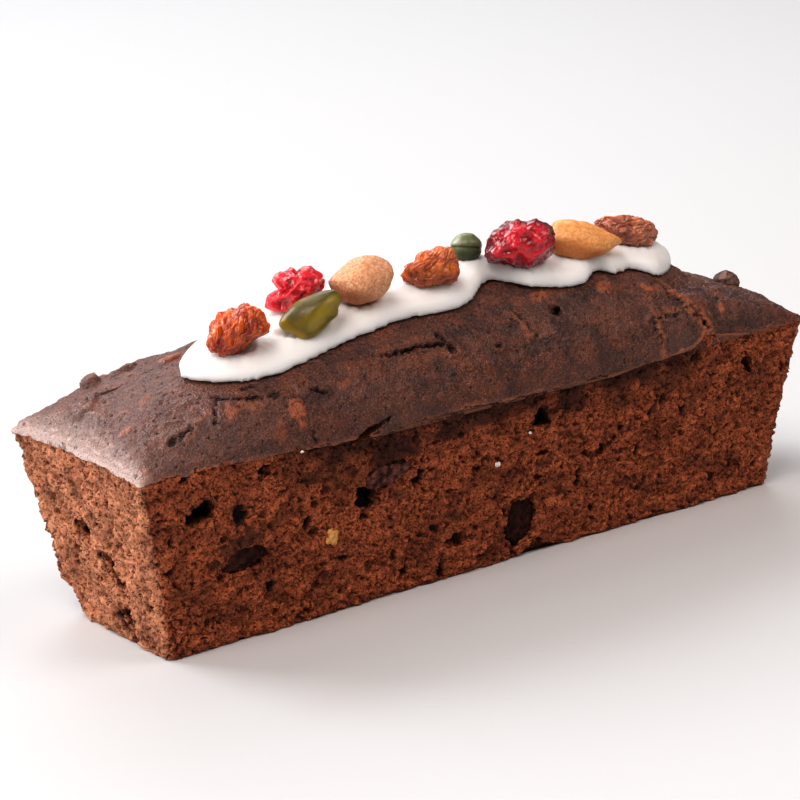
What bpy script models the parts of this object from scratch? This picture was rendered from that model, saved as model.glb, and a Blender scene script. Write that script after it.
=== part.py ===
"""Chocolate pound cake: a slim loaf with a cracked crust, a strip of white icing
along its crest, and nine dried fruits and nuts set in the icing.

Length runs along X, width along Y and +Z is up. The origin is at the middle of
the flat base. The long wall at -Y is the front one.
"""

import math
import random

import bmesh
import bpy
from mathutils import Matrix, Vector, noise

MM = 0.001
GAP = 0.3 * MM  # clear space between pieces that touch
FACET_SAG = 0.4 * MM  # how far a flat facet may fall below the curve it follows

# The loaf: a tapered tin's shape, with a dome over the rim.
HALF_LENGTH = 100.0 * MM
HALF_WIDTH = 30.5 * MM
RIM = 45.5 * MM
TAPER = 7.3 * MM  # how far each wall leans in from the rim to the base
CORNER = 1.6 * MM
END_BOW = 1.4 * MM  # rise of the rim at the middle of each end

# The dome: its crest climbs from the left end to the peak, then falls.
DOME = 23.5 * MM
PEAK_X = 10.0 * MM
SUNK_DOME = 14.5 * MM  # the lower crust to the right of the long crack
SUNK_FROM = 62.0 * MM
CRACK_NEAR = 60.0 * MM
CRACK_FAR = 66.0 * MM
CRACK_TURN_Y = -20.0 * MM
CRACK_BEND = 70.0  # per metre: how fast the crack curves away from its turn
STEP_NARROW = 3.0 * MM  # how wide the step at the crack is in front of the icing
STEP_WIDER = 12.0 * MM  # and how much wider it grows under the icing
STEP_SPREAD = 7.0 * MM  # over this distance

# The crust's lip hangs over the rim between these places on each long side.
LIP_DROP = 2.2 * MM
LIP_UNDERCUT = 0.9 * MM
LIP_WAVE = 9.0 * MM  # how far apart the waves of its edge are
CRUST_EDGE = 1.0 * MM  # how thick the crust is at the rim
CRUST_INSET = 0.3 * MM  # how far the wall stands back under it
LIP_FRONT = (-62.0 * MM, -38.0 * MM, 62.0 * MM, 66.0 * MM)
LIP_BACK = (-70.0 * MM, -52.0 * MM, 20.0 * MM, 40.0 * MM)

# How finely the loaf is divided.
CELLS_ALONG = 54
CELLS_ACROSS = 18
WALL_LEVELS = (30.0 * MM, 15.0 * MM, 1.2 * MM)
BASE_LIFT = 0.3 * MM
BASE_INSET = 0.4 * MM
BASE_BEVEL = 3.0 * MM
CRUMB_RELIEF = 0.35 * MM
CRUMB_SCALE = 4.0 * MM
CRUST_RELIEF = 0.5 * MM
CRUST_SCALE = 11.0 * MM
BASE_SCALE = 9.0 * MM

# Bumps of the crust: x, y, height, spread.
BUMPS = {
    "blister": (-91.0 * MM, 4.0 * MM, 1.6 * MM, 4.5 * MM),
    "nut_left": (-83.5 * MM, 16.0 * MM, 1.6 * MM, 3.0 * MM),
    "nut_crest": (-71.5 * MM, 15.0 * MM, 1.2 * MM, 4.0 * MM),
    "nut_front": (-71.5 * MM, -24.5 * MM, 0.9 * MM, 3.5 * MM),
    "nut_edge": (-56.0 * MM, -27.5 * MM, 0.9 * MM, 3.5 * MM),
    "nut_middle": (21.5 * MM, -19.5 * MM, 0.9 * MM, 3.5 * MM),
    "nut_right": (41.5 * MM, -20.5 * MM, 1.2 * MM, 4.0 * MM),
    "nut_crack": (53.0 * MM, -22.5 * MM, 1.2 * MM, 4.0 * MM),
    "plate": (61.0 * MM, -28.5 * MM, 1.0 * MM, 5.0 * MM),
    "back_left": (-48.0 * MM, 25.0 * MM, 1.4 * MM, 5.0 * MM),
    "back_right": (52.0 * MM, 26.0 * MM, 1.3 * MM, 5.0 * MM),
}

# Cracks of the crust, from one end to the other: x, y, x, y, width, depth.
CRUST_CRACKS = {
    "long_slit": (-27.0, -23.0, -10.5, -23.9, 1.0, 3.0),
    "slit_by_icing": (-53.5, -22.5, -46.5, -26.0, 1.0, 2.4),
    "ragged_crack": (-73.5, -20.5, -61.0, -24.0, 1.0, 2.2),
    "diagonal_slit": (12.0, -21.0, 15.0, -26.5, 0.9, 2.2),
    "crack_top": (58.8, -19.5, 58.9, -25.0, 1.0, 2.6),
    "crack_foot": (62.5, -26.5, 67.0, -30.2, 1.3, 3.0),
    "back_slit": (-20.0, 24.0, 2.0, 25.5, 1.1, 3.0),
    "back_crack": (38.0, 22.5, 50.0, 28.0, 1.3, 3.5),
}

# Round bubbles of the crust: x, y, width, depth.
CRUST_BUBBLES = {
    "front_bubble": (23.5, -22.8, 3.4, 3.0),
}

# Holes of the walls: wall, place along it, height, width, tallness, depth, tilt.
WALL_HOLES = {
    "torn_hole": ("front", -83.2, 34.8, 9.4, 5.8, 7.0, 12),
    "rim_hole": ("front", -66.7, 41.6, 4.4, 3.4, 4.0, 20),
    "three_cornered_hole": ("front", -37.7, 27.4, 7.0, 6.0, 6.5, -20),
    "cherry_hole": ("front", -10.7, 9.9, 7.2, 4.2, 4.0, -12),
    "round_bubble": ("front", 14.6, 36.3, 6.8, 6.6, 6.0, 0),
    "arc_slit": ("front", 14.9, 26.4, 7.5, 1.8, 3.5, 0),
    "diagonal_slit_wall": ("front", 32.7, 23.1, 9.0, 2.2, 3.5, 32),
    "right_hole": ("front", 80.8, 37.0, 3.8, 4.4, 4.5, 15),
    "folded_slit": ("front", -38.5, 44.2, 12.6, 2.2, 4.5, 19),
    "end_pore": ("left", 5.4, 26.2, 5.6, 4.6, 5.0, -35),
    "end_slit": ("left", -4.8, 18.3, 11.0, 3.6, 6.0, -52),
    "end_notch": ("left", -7.0, 6.4, 8.0, 3.2, 5.0, -52),
}

# Holes of the unseen walls are spread by a rule: wall, how many, seed.
SPREAD_HOLES = (("back", 6, 5), ("right", 2, 8))

# The icing: a strip with a narrow left tip, rounded ends and a few drips.
ICING_LEFT = -75.4 * MM
ICING_RIGHT = 74.3 * MM
ICING_HALF_WIDTH = 17.1 * MM
ICING_LEFT_ROUND = 41.0 * MM
ICING_RIGHT_ROUND = 15.0 * MM
ICING_MIDDLE_Y = -0.8 * MM
ICING_TIP_Y = -9.0 * MM
ICING_SETTLES = (4.0 * MM, 44.0 * MM)  # from its left tip: where it swings to the middle
ICING_THIN = 2.2 * MM
ICING_THICK = 3.0 * MM
ICING_THICKENS = (-50.0 * MM, 0.0)  # from one thickness to the other between these
ICING_EDGE_ROUND = 2.6 * MM
ICING_BARE_Y = 20.0 * MM  # the crust is smooth up to here, where the icing lies on it
ICING_STATIONS = 50
# Drips and notches of the icing's edges: place along it, how far the edge moves,
# and how far the drip spreads to its left and to its right.
FRONT_DRIPS = (
    (-18.0 * MM, 1.4 * MM, 9.0 * MM, 9.0 * MM),
    (13.2 * MM, 7.4 * MM, 8.0 * MM, 5.2 * MM),
    (34.0 * MM, -1.3 * MM, 5.0 * MM, 5.0 * MM),
    (42.5 * MM, 3.0 * MM, 2.2 * MM, 3.2 * MM),
    (52.5 * MM, 1.6 * MM, 3.0 * MM, 3.0 * MM),
    (59.5 * MM, -1.8 * MM, 2.8 * MM, 2.8 * MM),
)
BACK_DRIPS = (
    (-30.0 * MM, -3.0 * MM, 6.0 * MM, 6.0 * MM),
    (-12.0 * MM, 2.2 * MM, 7.0 * MM, 5.0 * MM),
    (8.0 * MM, -2.2 * MM, 5.0 * MM, 5.0 * MM),
    (28.0 * MM, 2.6 * MM, 4.0 * MM, 6.0 * MM),
    (47.0 * MM, -3.2 * MM, 5.0 * MM, 5.0 * MM),
)


def smooth(t):
    """A soft step from 0 to 1."""
    t = min(max(t, 0.0), 1.0)
    return t * t * (3 - 2 * t)


def bell(distance, spread):
    return math.exp(-((distance / spread) ** 2))


def linear(hex_colour):
    """The linear red, green, blue and alpha of an sRGB hex colour."""
    parts = [int(hex_colour[i : i + 2], 16) / 255 for i in (0, 2, 4)]
    return [c / 12.92 if c <= 0.04045 else ((c + 0.055) / 1.055) ** 2.4 for c in parts] + [1.0]


def make_material(name, hex_colour, roughness):
    material = bpy.data.materials.new(name)
    material.use_nodes = True
    shader = material.node_tree.nodes["Principled BSDF"]
    shader.inputs["Base Color"].default_value = linear(hex_colour)
    shader.inputs["Roughness"].default_value = roughness
    shader.inputs["Metallic"].default_value = 0.0
    return material


def make_object(name, bm, material=None):
    mesh = bpy.data.meshes.new(name)
    bm.to_mesh(mesh)
    bm.free()
    mesh.shade_smooth()
    mesh.set_sharp_from_angle(angle=math.radians(50))
    obj = bpy.data.objects.new(name, mesh)
    bpy.context.scene.collection.objects.link(obj)
    if material:
        mesh.materials.append(material)
    return obj


# --- The dome ---------------------------------------------------------------


def long_crest(x):
    """The crest's height above the rim, on the main part of the dome."""
    if x < PEAK_X:
        t = min((PEAK_X - x) / (PEAK_X + HALF_LENGTH), 1.0)
        return DOME * (1 - t**1.65) ** 0.38
    t = min((x - PEAK_X) / (HALF_LENGTH - PEAK_X), 1.0)
    return DOME * (1 - t**2.6) ** 0.42


def sunk_crest(x):
    """The same height where the crust sank, right of the long crack."""
    t = min(max((x - SUNK_FROM) / (HALF_LENGTH - SUNK_FROM), 0.0), 1.0)
    return SUNK_DOME * (1 - t**1.5) ** 0.55


def crack_x(y):
    """Where the long crack crosses this y."""
    return min(CRACK_FAR, CRACK_NEAR + CRACK_BEND * (y - CRACK_TURN_Y) ** 2)


def dome_height(x, y):
    across = min(abs(y) / HALF_WIDTH, 1.0)
    main = long_crest(x) * (1 - across**2.1) ** 0.55
    sunk = sunk_crest(x) * (1 - across**2.8) ** 0.4
    step_width = STEP_NARROW + STEP_WIDER * smooth((y - CRACK_TURN_Y) / STEP_SPREAD)
    share = smooth((x - crack_x(y)) / step_width)
    return RIM + main * (1 - share) + sunk * share


def crust_height(x, y):
    """The dome with its bumps and its fine unevenness."""
    lift = sum(h * bell(math.hypot(x - bx, y - by), s) for bx, by, h, s in BUMPS.values())
    uneven = CRUST_RELIEF * noise.noise(Vector((x, y, 0)) / CRUST_SCALE)
    clear_of_icing = smooth((abs(y) - ICING_BARE_Y) / (4 * MM))
    if not ICING_LEFT < x < ICING_RIGHT:
        clear_of_icing = 1.0
    return dome_height(x, y) + lift + uneven * clear_of_icing


def surface_normal(height, x, y):
    d = 0.5 * MM
    slope_x = (height(x + d, y) - height(x - d, y)) / (2 * d)
    slope_y = (height(x, y + d) - height(x, y - d)) / (2 * d)
    return Vector((-slope_x, -slope_y, 1)).normalized()


def lip(x, y):
    """1 where the crust hangs over the rim of a long side, and 0 where it doesn't."""
    start, full, steady, end = LIP_FRONT if y < 0 else LIP_BACK
    on_side = smooth((abs(y) / HALF_WIDTH - 0.9) / 0.1)
    wave = 0.75 + 0.25 * math.sin(x / LIP_WAVE)
    return on_side * wave * smooth((x - start) / (full - start)) * smooth((end - x) / (end - steady))


def rim_height(x, y):
    near_end = smooth((abs(x) / HALF_LENGTH - 0.9) / 0.1)
    bow = END_BOW * near_end * (1 - (y / HALF_WIDTH) ** 2)
    return RIM + bow - LIP_DROP * lip(x, y)


# --- The loaf ---------------------------------------------------------------


def crowd(t, share):
    """Moves evenly spaced values of -1 to 1 closer together near both ends."""
    return (1 - share) * t + share * math.sin(t * math.pi / 2)


def round_corner(x, y):
    """Pulls a point in each sharp corner of the plan back to a small arc."""
    cx, cy = HALF_LENGTH - CORNER, HALF_WIDTH - CORNER
    dx, dy = abs(x) - cx, abs(y) - cy
    reach = math.hypot(dx, dy)
    if dx > 0 and dy > 0 and reach > CORNER:
        x = math.copysign(cx + dx * CORNER / reach, x)
        y = math.copysign(cy + dy * CORNER / reach, y)
    return x, y


def half_sizes(z):
    """Half the loaf's length and width at this height of its walls."""
    lean = TAPER * (1 - z / RIM)
    return HALF_LENGTH - lean, HALF_WIDTH - lean


def next_ring(bm, ring):
    """Extrudes an open rim once more, and gives its new edges and vertices."""
    made = bmesh.ops.extrude_edge_only(bm, edges=ring)["geom"]
    edges = [item for item in made if isinstance(item, bmesh.types.BMEdge) and item.is_boundary]
    return edges, {vert for edge in edges for vert in edge.verts}


def wall_ring(verts, z, last_z):
    """Brings one ring of the walls to its height, leaning in with the tin."""
    (hx, hy), (last_hx, last_hy) = half_sizes(z), half_sizes(last_z)
    for vert in verts:
        x, y = vert.co.x * hx / last_hx, vert.co.y * hy / last_hy
        out = CRUMB_RELIEF * noise.noise(Vector((x, y, z)) / CRUMB_SCALE)
        vert.co = (x * (1 + out / HALF_LENGTH), y * (1 + out / HALF_WIDTH), z)


def inset_ring(verts, by):
    """Brings one ring in by this much on every side."""
    for vert in verts:
        vert.co.x *= 1 - by / HALF_LENGTH
        vert.co.y *= 1 - by / HALF_WIDTH


def build_loaf(material):
    bm = bmesh.new()
    bmesh.ops.create_grid(bm, x_segments=CELLS_ALONG, y_segments=CELLS_ACROSS, size=1)
    for vert in bm.verts:
        x, y = round_corner(HALF_LENGTH * crowd(vert.co.x, 0.45), HALF_WIDTH * crowd(vert.co.y, 1.0))
        height = rim_height(x, y) if vert.is_boundary else crust_height(x, y)
        vert.co = (x, y, height)
    ring = [edge for edge in bm.edges if edge.is_boundary]
    ring, verts = next_ring(bm, ring)
    inset_ring(verts, CRUST_INSET)
    for vert in verts:
        vert.co.z -= CRUST_EDGE
        vert.co.y *= 1 - LIP_UNDERCUT * lip(vert.co.x, vert.co.y) / HALF_WIDTH
    last_z = RIM
    for z in WALL_LEVELS:
        ring, verts = next_ring(bm, ring)
        wall_ring(verts, z, last_z)
        last_z = z
    ring, verts = next_ring(bm, ring)
    inset_ring(verts, BASE_INSET)
    for vert in verts:
        vert.co.z = BASE_LIFT * (1 + noise.noise(vert.co / BASE_SCALE))
    ring, verts = next_ring(bm, ring)
    inset_ring(verts, BASE_BEVEL)
    for vert in verts:
        vert.co.z = 0.0
    bmesh.ops.edgeloop_fill(bm, edges=ring)
    bmesh.ops.recalc_face_normals(bm, faces=bm.faces)
    return make_object("cake", bm, material)


# --- What is cut out of the loaf ---------------------------------------------


def wall_place(wall, along, height):
    """A point of a wall and the turn that faces a cutter's -Y side outwards there."""
    hx, hy = half_sizes(height)
    if wall in ("front", "back"):
        side = -1 if wall == "front" else 1
        return Vector((along, side * hy, height)), (0.0 if side < 0 else math.pi)
    side = -1 if wall == "left" else 1
    return Vector((side * hx, along, height)), side * math.pi / 2


def lumpy_ball(size, seed, rough, detail=2):
    """A ball of this width, depth and height, with a torn, uneven surface."""
    bm = bmesh.new()
    bmesh.ops.create_icosphere(bm, subdivisions=detail, radius=0.5)
    shift = Vector((seed * 1.7, seed * 0.9, seed * 2.3))
    for vert in bm.verts:
        swell = 1 + rough * noise.noise(vert.co * 3.1 + shift)
        vert.co = Vector(a * b for a, b in zip(vert.co * swell, size))
    return bm


def add_hollow(hollows, name, bm, place):
    """Puts a cutter in place and hides it from everything but the Boolean."""
    bm.transform(place)
    cutter = make_object(name, bm)
    bpy.context.scene.collection.objects.unlink(cutter)
    hollows.objects.link(cutter)
    cutter.hide_render = True
    cutter.display_type = "WIRE"


def add_wall_holes(hollows):
    rows = dict(WALL_HOLES)
    for wall, count, seed in SPREAD_HOLES:
        draw = random.Random(seed)
        reach = 80.0 if wall in ("front", "back") else 17.0
        for i in range(count):
            along = reach * (2 * (i + draw.uniform(0.2, 0.8)) / count - 1)
            size = draw.uniform(3.0, 6.5)
            tall = size * draw.uniform(0.5, 1.1)
            height = draw.uniform(9.0, 38.0)
            rows[f"{wall}_hole_{i}"] = (wall, along, height, size, tall, size * 0.8, draw.uniform(-50, 50))
    for seed, (name, row) in enumerate(rows.items()):
        wall, along, height, width, tall, depth, tilt = row
        centre, turn = wall_place(wall, along * MM, height * MM)
        bm = lumpy_ball(Vector((width, 2 * depth, tall)) * MM, seed, 0.55)
        place = Matrix.Translation(centre) @ Matrix.Rotation(turn, 4, "Z")
        add_hollow(hollows, name, bm, place @ Matrix.Rotation(math.radians(-tilt), 4, "Y"))


def add_crust_cracks(hollows):
    for seed, (name, row) in enumerate(CRUST_CRACKS.items()):
        x1, y1, x2, y2, width, depth = (value * MM for value in row)
        ends = [Vector((x, y, crust_height(x, y))) for x, y in ((x1, y1), (x2, y2))]
        middle = (ends[0] + ends[1]) / 2
        middle.z = crust_height(middle.x, middle.y)
        along = (ends[1] - ends[0]).normalized()
        normal = surface_normal(crust_height, middle.x, middle.y)
        across = normal.cross(along).normalized()
        frame = Matrix((along, across, along.cross(across))).transposed().to_4x4()
        bm = lumpy_ball(Vector(((ends[1] - ends[0]).length, width, 2 * depth)), seed + 40, 0.5)
        add_hollow(hollows, name, bm, Matrix.Translation(middle) @ frame)
    for seed, (name, row) in enumerate(CRUST_BUBBLES.items()):
        x, y, width, depth = (value * MM for value in row)
        bm = lumpy_ball(Vector((width, width, 2 * depth)), seed + 60, 0.2)
        add_hollow(hollows, name, bm, Matrix.Translation((x, y, crust_height(x, y))))


def cut(obj, hollows):
    """Takes a collection of cutters away from an object."""
    modifier = obj.modifiers.new("hollows", "BOOLEAN")
    modifier.operation = "DIFFERENCE"
    modifier.operand_type = "COLLECTION"
    modifier.collection = hollows
    modifier.solver = "EXACT"


def new_hollows(name):
    hollows = bpy.data.collections.new(name)
    hollows.hide_render = True
    bpy.context.scene.collection.children.link(hollows)
    return hollows


# --- The icing ----------------------------------------------------------------


def icing_end(x):
    """The strip's width at x as a share of the full width: 0 at a tip."""
    if x < ICING_LEFT + ICING_LEFT_ROUND:
        t = (ICING_LEFT + ICING_LEFT_ROUND - x) / ICING_LEFT_ROUND
        return max(1 - t * t, 0.0) ** 0.6
    t = max(0.0, (x - ICING_RIGHT + ICING_RIGHT_ROUND) / ICING_RIGHT_ROUND)
    return max(1 - t * t, 0.0) ** 0.5


def edge_shift(drips, x):
    """How far the drips move an edge of the icing at x."""
    return sum(move * bell(x - place, left if x < place else right) for place, move, left, right in drips)


def icing_span(x):
    """The y of the icing's front and back edges at x."""
    start, end = ICING_SETTLES
    settled = smooth((x - ICING_LEFT - start) / (end - start))
    middle = ICING_TIP_Y + (ICING_MIDDLE_Y - ICING_TIP_Y) * settled
    half = ICING_HALF_WIDTH * icing_end(x)
    front, back = edge_shift(FRONT_DRIPS, x), edge_shift(BACK_DRIPS, x)
    return middle - half + front, middle + half + back


def icing_under(x, y):
    return crust_height(x, y) + GAP + FACET_SAG


def icing_top(x, y):
    """The icing's upper surface: level in the middle, round at its edges."""
    front, back = icing_span(x)
    to_side = min(y - front, back - y)
    to_tip = min(x - ICING_LEFT, ICING_RIGHT - x)
    inside = min(max(min(to_side, to_tip) / ICING_EDGE_ROUND, 0.0), 1.0)
    fullness = math.sqrt(1 - (1 - inside) ** 2)
    start, end = ICING_THICKENS
    thick = ICING_THIN + (ICING_THICK - ICING_THIN) * smooth((x - start) / (end - start))
    return icing_under(x, y) + thick * (0.15 + 0.85 * fullness)


def build_icing(material):
    """Cross sections along the strip, each a closed loop, joined one to the next."""
    top_shares = (-0.985, -0.94, -0.84, -0.6, -0.2, 0.2, 0.6, 0.84, 0.94, 0.985)
    under_shares = (0.75, 0.5, 0.25, 0.0, -0.25, -0.5, -0.75)
    bm = bmesh.new()
    loops = []
    for i in range(ICING_STATIONS + 1):
        t = crowd(2 * i / ICING_STATIONS - 1, 0.35) * 0.9995
        x = (ICING_LEFT + ICING_RIGHT) / 2 + t * (ICING_RIGHT - ICING_LEFT) / 2
        front, back = icing_span(x)
        middle, half = (front + back) / 2, (back - front) / 2
        rows = [(-1.0, icing_under)]
        rows += [(share, icing_top) for share in top_shares]
        rows += [(1.0, icing_under)]
        rows += [(share, icing_under) for share in under_shares]
        points = [(x, middle + share * half, height) for share, height in rows]
        loops.append([bm.verts.new((px, py, height(px, py))) for px, py, height in points])
    for last, this in zip(loops, loops[1:]):
        for i in range(len(this)):
            bm.faces.new((last[i - 1], last[i], this[i], this[i - 1]))
    bm.faces.new(loops[0])
    bm.faces.new(list(reversed(loops[-1])))
    bmesh.ops.recalc_face_normals(bm, faces=bm.faces)
    return make_object("icing", bm, material)


# --- Fruits and nuts ------------------------------------------------------------


def raisin_form(p, shift):
    """A dried grape: a ball sunk into soft lengthwise folds."""
    folds = abs(noise.noise(Vector((p.x * 1.2, p.y * 3.0, p.z * 3.0)) + shift))
    return p * (0.93 + 0.1 * noise.noise(p * 1.6 + shift) + 0.16 * folds)


def cranberry_form(p, shift):
    """A dried, torn cranberry: crumpled, with peaks and hollows."""
    crumple = abs(noise.noise(p * 2.3 + shift)) + 0.5 * abs(noise.noise(p * 4.1 + shift))
    return p * (0.84 + 0.34 * crumple)


def tapered(p, blunt, sharp):
    """A body of revolution about X, blunt at -X and drawn out at +X."""
    x = min(max(p.x, -0.999), 0.999)
    widest = (sharp - blunt) / (sharp + blunt)
    most = (1 - widest) ** blunt * (1 + widest) ** sharp
    radius = (1 + x) ** blunt * (1 - x) ** sharp / most
    ring = math.sqrt(max(1 - x * x, 1e-9))
    return Vector((x, p.y / ring * radius, p.z / ring * radius))


def almond_form(p, shift):
    return tapered(p, 0.5, 0.8) * (1 + 0.02 * noise.noise(p * 5 + shift))


def pistachio_form(p, shift):
    """A shelled kernel: one end drawn to a point at -X, the other round."""
    q = tapered(Vector((-p.x, p.y, p.z)), 0.5, 0.66)
    return Vector((-q.x, q.y, q.z * (1.0 if q.z > 0 else 0.85)))


def hazelnut_form(p, shift):
    q = tapered(Vector((-p.x, p.y, p.z)), 0.46, 0.56)
    return Vector((-q.x, q.y, q.z)) * (1 + 0.03 * noise.noise(p * 1.5 + shift))


def round_pistachio_form(p, shift):
    """A short kernel seen on end, with the seam between its halves."""
    return p * (1 - 0.07 * bell(p.z - 0.1, 0.16) + 0.03 * noise.noise(p * 2 + shift))


def make_fruit(form, size, seed, detail=3):
    """A fruit's mesh about its own middle: long side along X, upper side at +Z."""
    shift = Vector((3.1 * seed, 1.3 * seed, 2.7 * seed))
    bm = bmesh.new()
    bmesh.ops.create_icosphere(bm, subdivisions=detail, radius=1.0)
    for vert in bm.verts:
        point = form(vert.co.normalized(), shift)
        vert.co = Vector(a * b / 2 for a, b in zip(point, size))
    return bm


def grown(bm, by):
    """A copy of the mesh with its surface moved outwards."""
    bigger = bm.copy()
    bigger.normal_update()
    moves = [(vert, vert.normal * by) for vert in bigger.verts]
    for vert, move in moves:
        vert.co += move
    return bigger


def turn_matrix(normal, yaw, pitch, roll):
    """Stands a piece on a slope, then turns it, lifts its +X end and rolls it."""
    lean = Vector((0, 0, 1)).rotation_difference(normal).to_matrix().to_4x4()
    yaw, pitch, roll = (math.radians(angle) for angle in (yaw, pitch, roll))
    turn = Matrix.Rotation(yaw, 4, "Z") @ Matrix.Rotation(-pitch, 4, "Y")
    return lean @ turn @ Matrix.Rotation(roll, 4, "X")


# name: form, colour, roughness, size, place x y, yaw pitch roll, depth sunk, seed
TOPPINGS = {
    "raisin_1": (raisin_form, "A8451C", 0.35, (15.5, 12.5, 12.0), (-60.8, -11.6), (-25, 6, 0), 1.2, 1),
    "cranberry_1": (cranberry_form, "C41F38", 0.4, (14.6, 12.0, 12.0), (-38.8, -3.2), (-20, 0, 0), 1.4, 2),
    "pistachio_long": (pistachio_form, "6E7422", 0.45, (18.5, 10.0, 9.5), (-43.0, -13.4), (-8, 20, 0), 1.2, 3),
    "hazelnut": (hazelnut_form, "C98E5E", 0.6, (16.2, 13.5, 12.6), (-25.2, -9.9), (-15, 12, 0), 1.0, 4),
    "raisin_2": (raisin_form, "7E3414", 0.35, (15.0, 11.0, 10.5), (-5.0, -10.8), (-15, 10, 0), 1.2, 5),
    "pistachio_round": (round_pistachio_form, "2F4A22", 0.4, (8.8, 8.0, 8.5), (10.8, -3.6), (-35, 0, 0), 1.2, 6),
    "cranberry_2": (cranberry_form, "A3142A", 0.4, (18.6, 12.6, 13.0), (21.6, -11.4), (-15, 0, 0), 1.4, 7),
    "almond": (almond_form, "BD7A3C", 0.55, (22.5, 12.4, 8.8), (41.4, -12.0), (-25, 0, 18), 1.0, 8),
    "raisin_3": (raisin_form, "5E2A18", 0.35, (19.4, 10.5, 9.5), (57.9, -9.2), (-12, 0, 0), 1.8, 9),
}


def add_toppings(sockets):
    """Sets each topping on the icing and cuts its socket there."""
    for name, row in TOPPINGS.items():
        form, colour, roughness, size, (x, y), turns, sunk, seed = row
        x, y = x * MM, y * MM
        normal = surface_normal(icing_top, x, y)
        bm = make_fruit(form, [side * MM for side in size], seed)
        bm.transform(turn_matrix(normal, *turns))
        lowest = min(vert.co.dot(normal) for vert in bm.verts)
        seat = Vector((x, y, icing_top(x, y))) - normal * (lowest + sunk * MM)
        place = Matrix.Translation(seat)
        add_hollow(sockets, f"{name}_socket", grown(bm, GAP), place)
        bm.transform(place)
        make_object(name, bm, make_material(name, colour, roughness))


# name: place along the front wall, height, size along, into and up, tilt, seed, colour
WALL_RAISINS = {
    "wall_raisin_left": (-72.0, 21.0, (13.5, 6.0, 6.4), 10, 11, "2E1A18"),
    "wall_raisin_upper": (-32.0, 32.8, (13.0, 6.0, 6.2), 8, 12, "4A2A2C"),
    "wall_raisin_low": (8.8, 10.6, (9.4, 6.5, 14.5), -6, 13, "2A120C"),
}
WALL_RAISIN_SHOWS = 0.8 * MM  # how far they stand out of the wall
CRUST_RAISIN_SEED = 14
CRUST_RAISIN_SIZE = (8.0 * MM, 7.0 * MM, 6.5 * MM)
CRUST_RAISIN_PLACE = (89.0 * MM, -12.5 * MM)


def add_inclusion(hollows, name, bm, place, colour):
    add_hollow(hollows, f"{name}_socket", grown(bm, GAP), place)
    bm.transform(place)
    make_object(name, bm, make_material(name, colour, 0.4))


def add_inclusions(hollows):
    """The fruits baked in that show: three in the front wall, one in the crust."""
    for name, (along, height, size, tilt, seed, colour) in WALL_RAISINS.items():
        centre, _ = wall_place("front", along * MM, height * MM)
        bm = make_fruit(raisin_form, [side * MM for side in size], seed, detail=2)
        centre.y += size[1] * MM / 2 - WALL_RAISIN_SHOWS
        place = Matrix.Translation(centre) @ Matrix.Rotation(math.radians(-tilt), 4, "Y")
        add_inclusion(hollows, name, bm, place, colour)
    x, y = CRUST_RAISIN_PLACE
    bm = make_fruit(raisin_form, CRUST_RAISIN_SIZE, CRUST_RAISIN_SEED, detail=2)
    add_inclusion(hollows, "crust_raisin", bm, Matrix.Translation((x, y, crust_height(x, y))), "3A2A2C")


def main():
    for obj in list(bpy.data.objects):
        bpy.data.objects.remove(obj, do_unlink=True)
    cake = build_loaf(make_material("cake", "5C3020", 0.85))
    hollows = new_hollows("hollows")
    add_wall_holes(hollows)
    add_crust_cracks(hollows)
    add_inclusions(hollows)
    cut(cake, hollows)
    icing = build_icing(make_material("icing", "F4F0EC", 0.35))
    sockets = new_hollows("sockets")
    add_toppings(sockets)
    cut(icing, sockets)


main()
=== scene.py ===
"""A slim chocolate pound cake with icing, dried fruits and nuts, dressed over its solids."""

import math
import random

import bpy
import numpy as np
from mathutils import Euler, Matrix, Vector, kdtree, noise


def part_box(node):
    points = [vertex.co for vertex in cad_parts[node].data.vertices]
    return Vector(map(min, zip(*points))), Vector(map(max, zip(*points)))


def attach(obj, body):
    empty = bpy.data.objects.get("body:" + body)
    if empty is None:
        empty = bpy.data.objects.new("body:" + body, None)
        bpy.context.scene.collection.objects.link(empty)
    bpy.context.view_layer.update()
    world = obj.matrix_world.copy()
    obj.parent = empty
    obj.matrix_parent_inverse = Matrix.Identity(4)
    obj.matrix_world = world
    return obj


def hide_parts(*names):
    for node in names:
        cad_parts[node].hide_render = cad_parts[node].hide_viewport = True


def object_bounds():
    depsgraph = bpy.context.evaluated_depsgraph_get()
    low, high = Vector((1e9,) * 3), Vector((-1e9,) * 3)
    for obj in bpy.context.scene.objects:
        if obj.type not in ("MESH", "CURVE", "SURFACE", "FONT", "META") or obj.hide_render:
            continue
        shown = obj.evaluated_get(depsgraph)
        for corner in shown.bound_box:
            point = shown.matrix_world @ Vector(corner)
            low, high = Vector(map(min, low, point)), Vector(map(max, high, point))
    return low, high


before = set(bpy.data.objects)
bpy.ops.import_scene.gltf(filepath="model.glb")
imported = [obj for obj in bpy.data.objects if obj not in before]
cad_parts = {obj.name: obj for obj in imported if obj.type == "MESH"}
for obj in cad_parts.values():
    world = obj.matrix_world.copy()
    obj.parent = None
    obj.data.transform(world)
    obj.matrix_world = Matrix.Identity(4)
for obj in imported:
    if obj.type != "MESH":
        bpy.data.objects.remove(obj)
cad_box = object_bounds()

# --- Loaf: the crumb ---
# Baked chocolate batter, peeled off the paper of its tin on all four sides. It is an
# open, granular sponge, and the walls cut its bubbles open. It carries all the rest.

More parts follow.
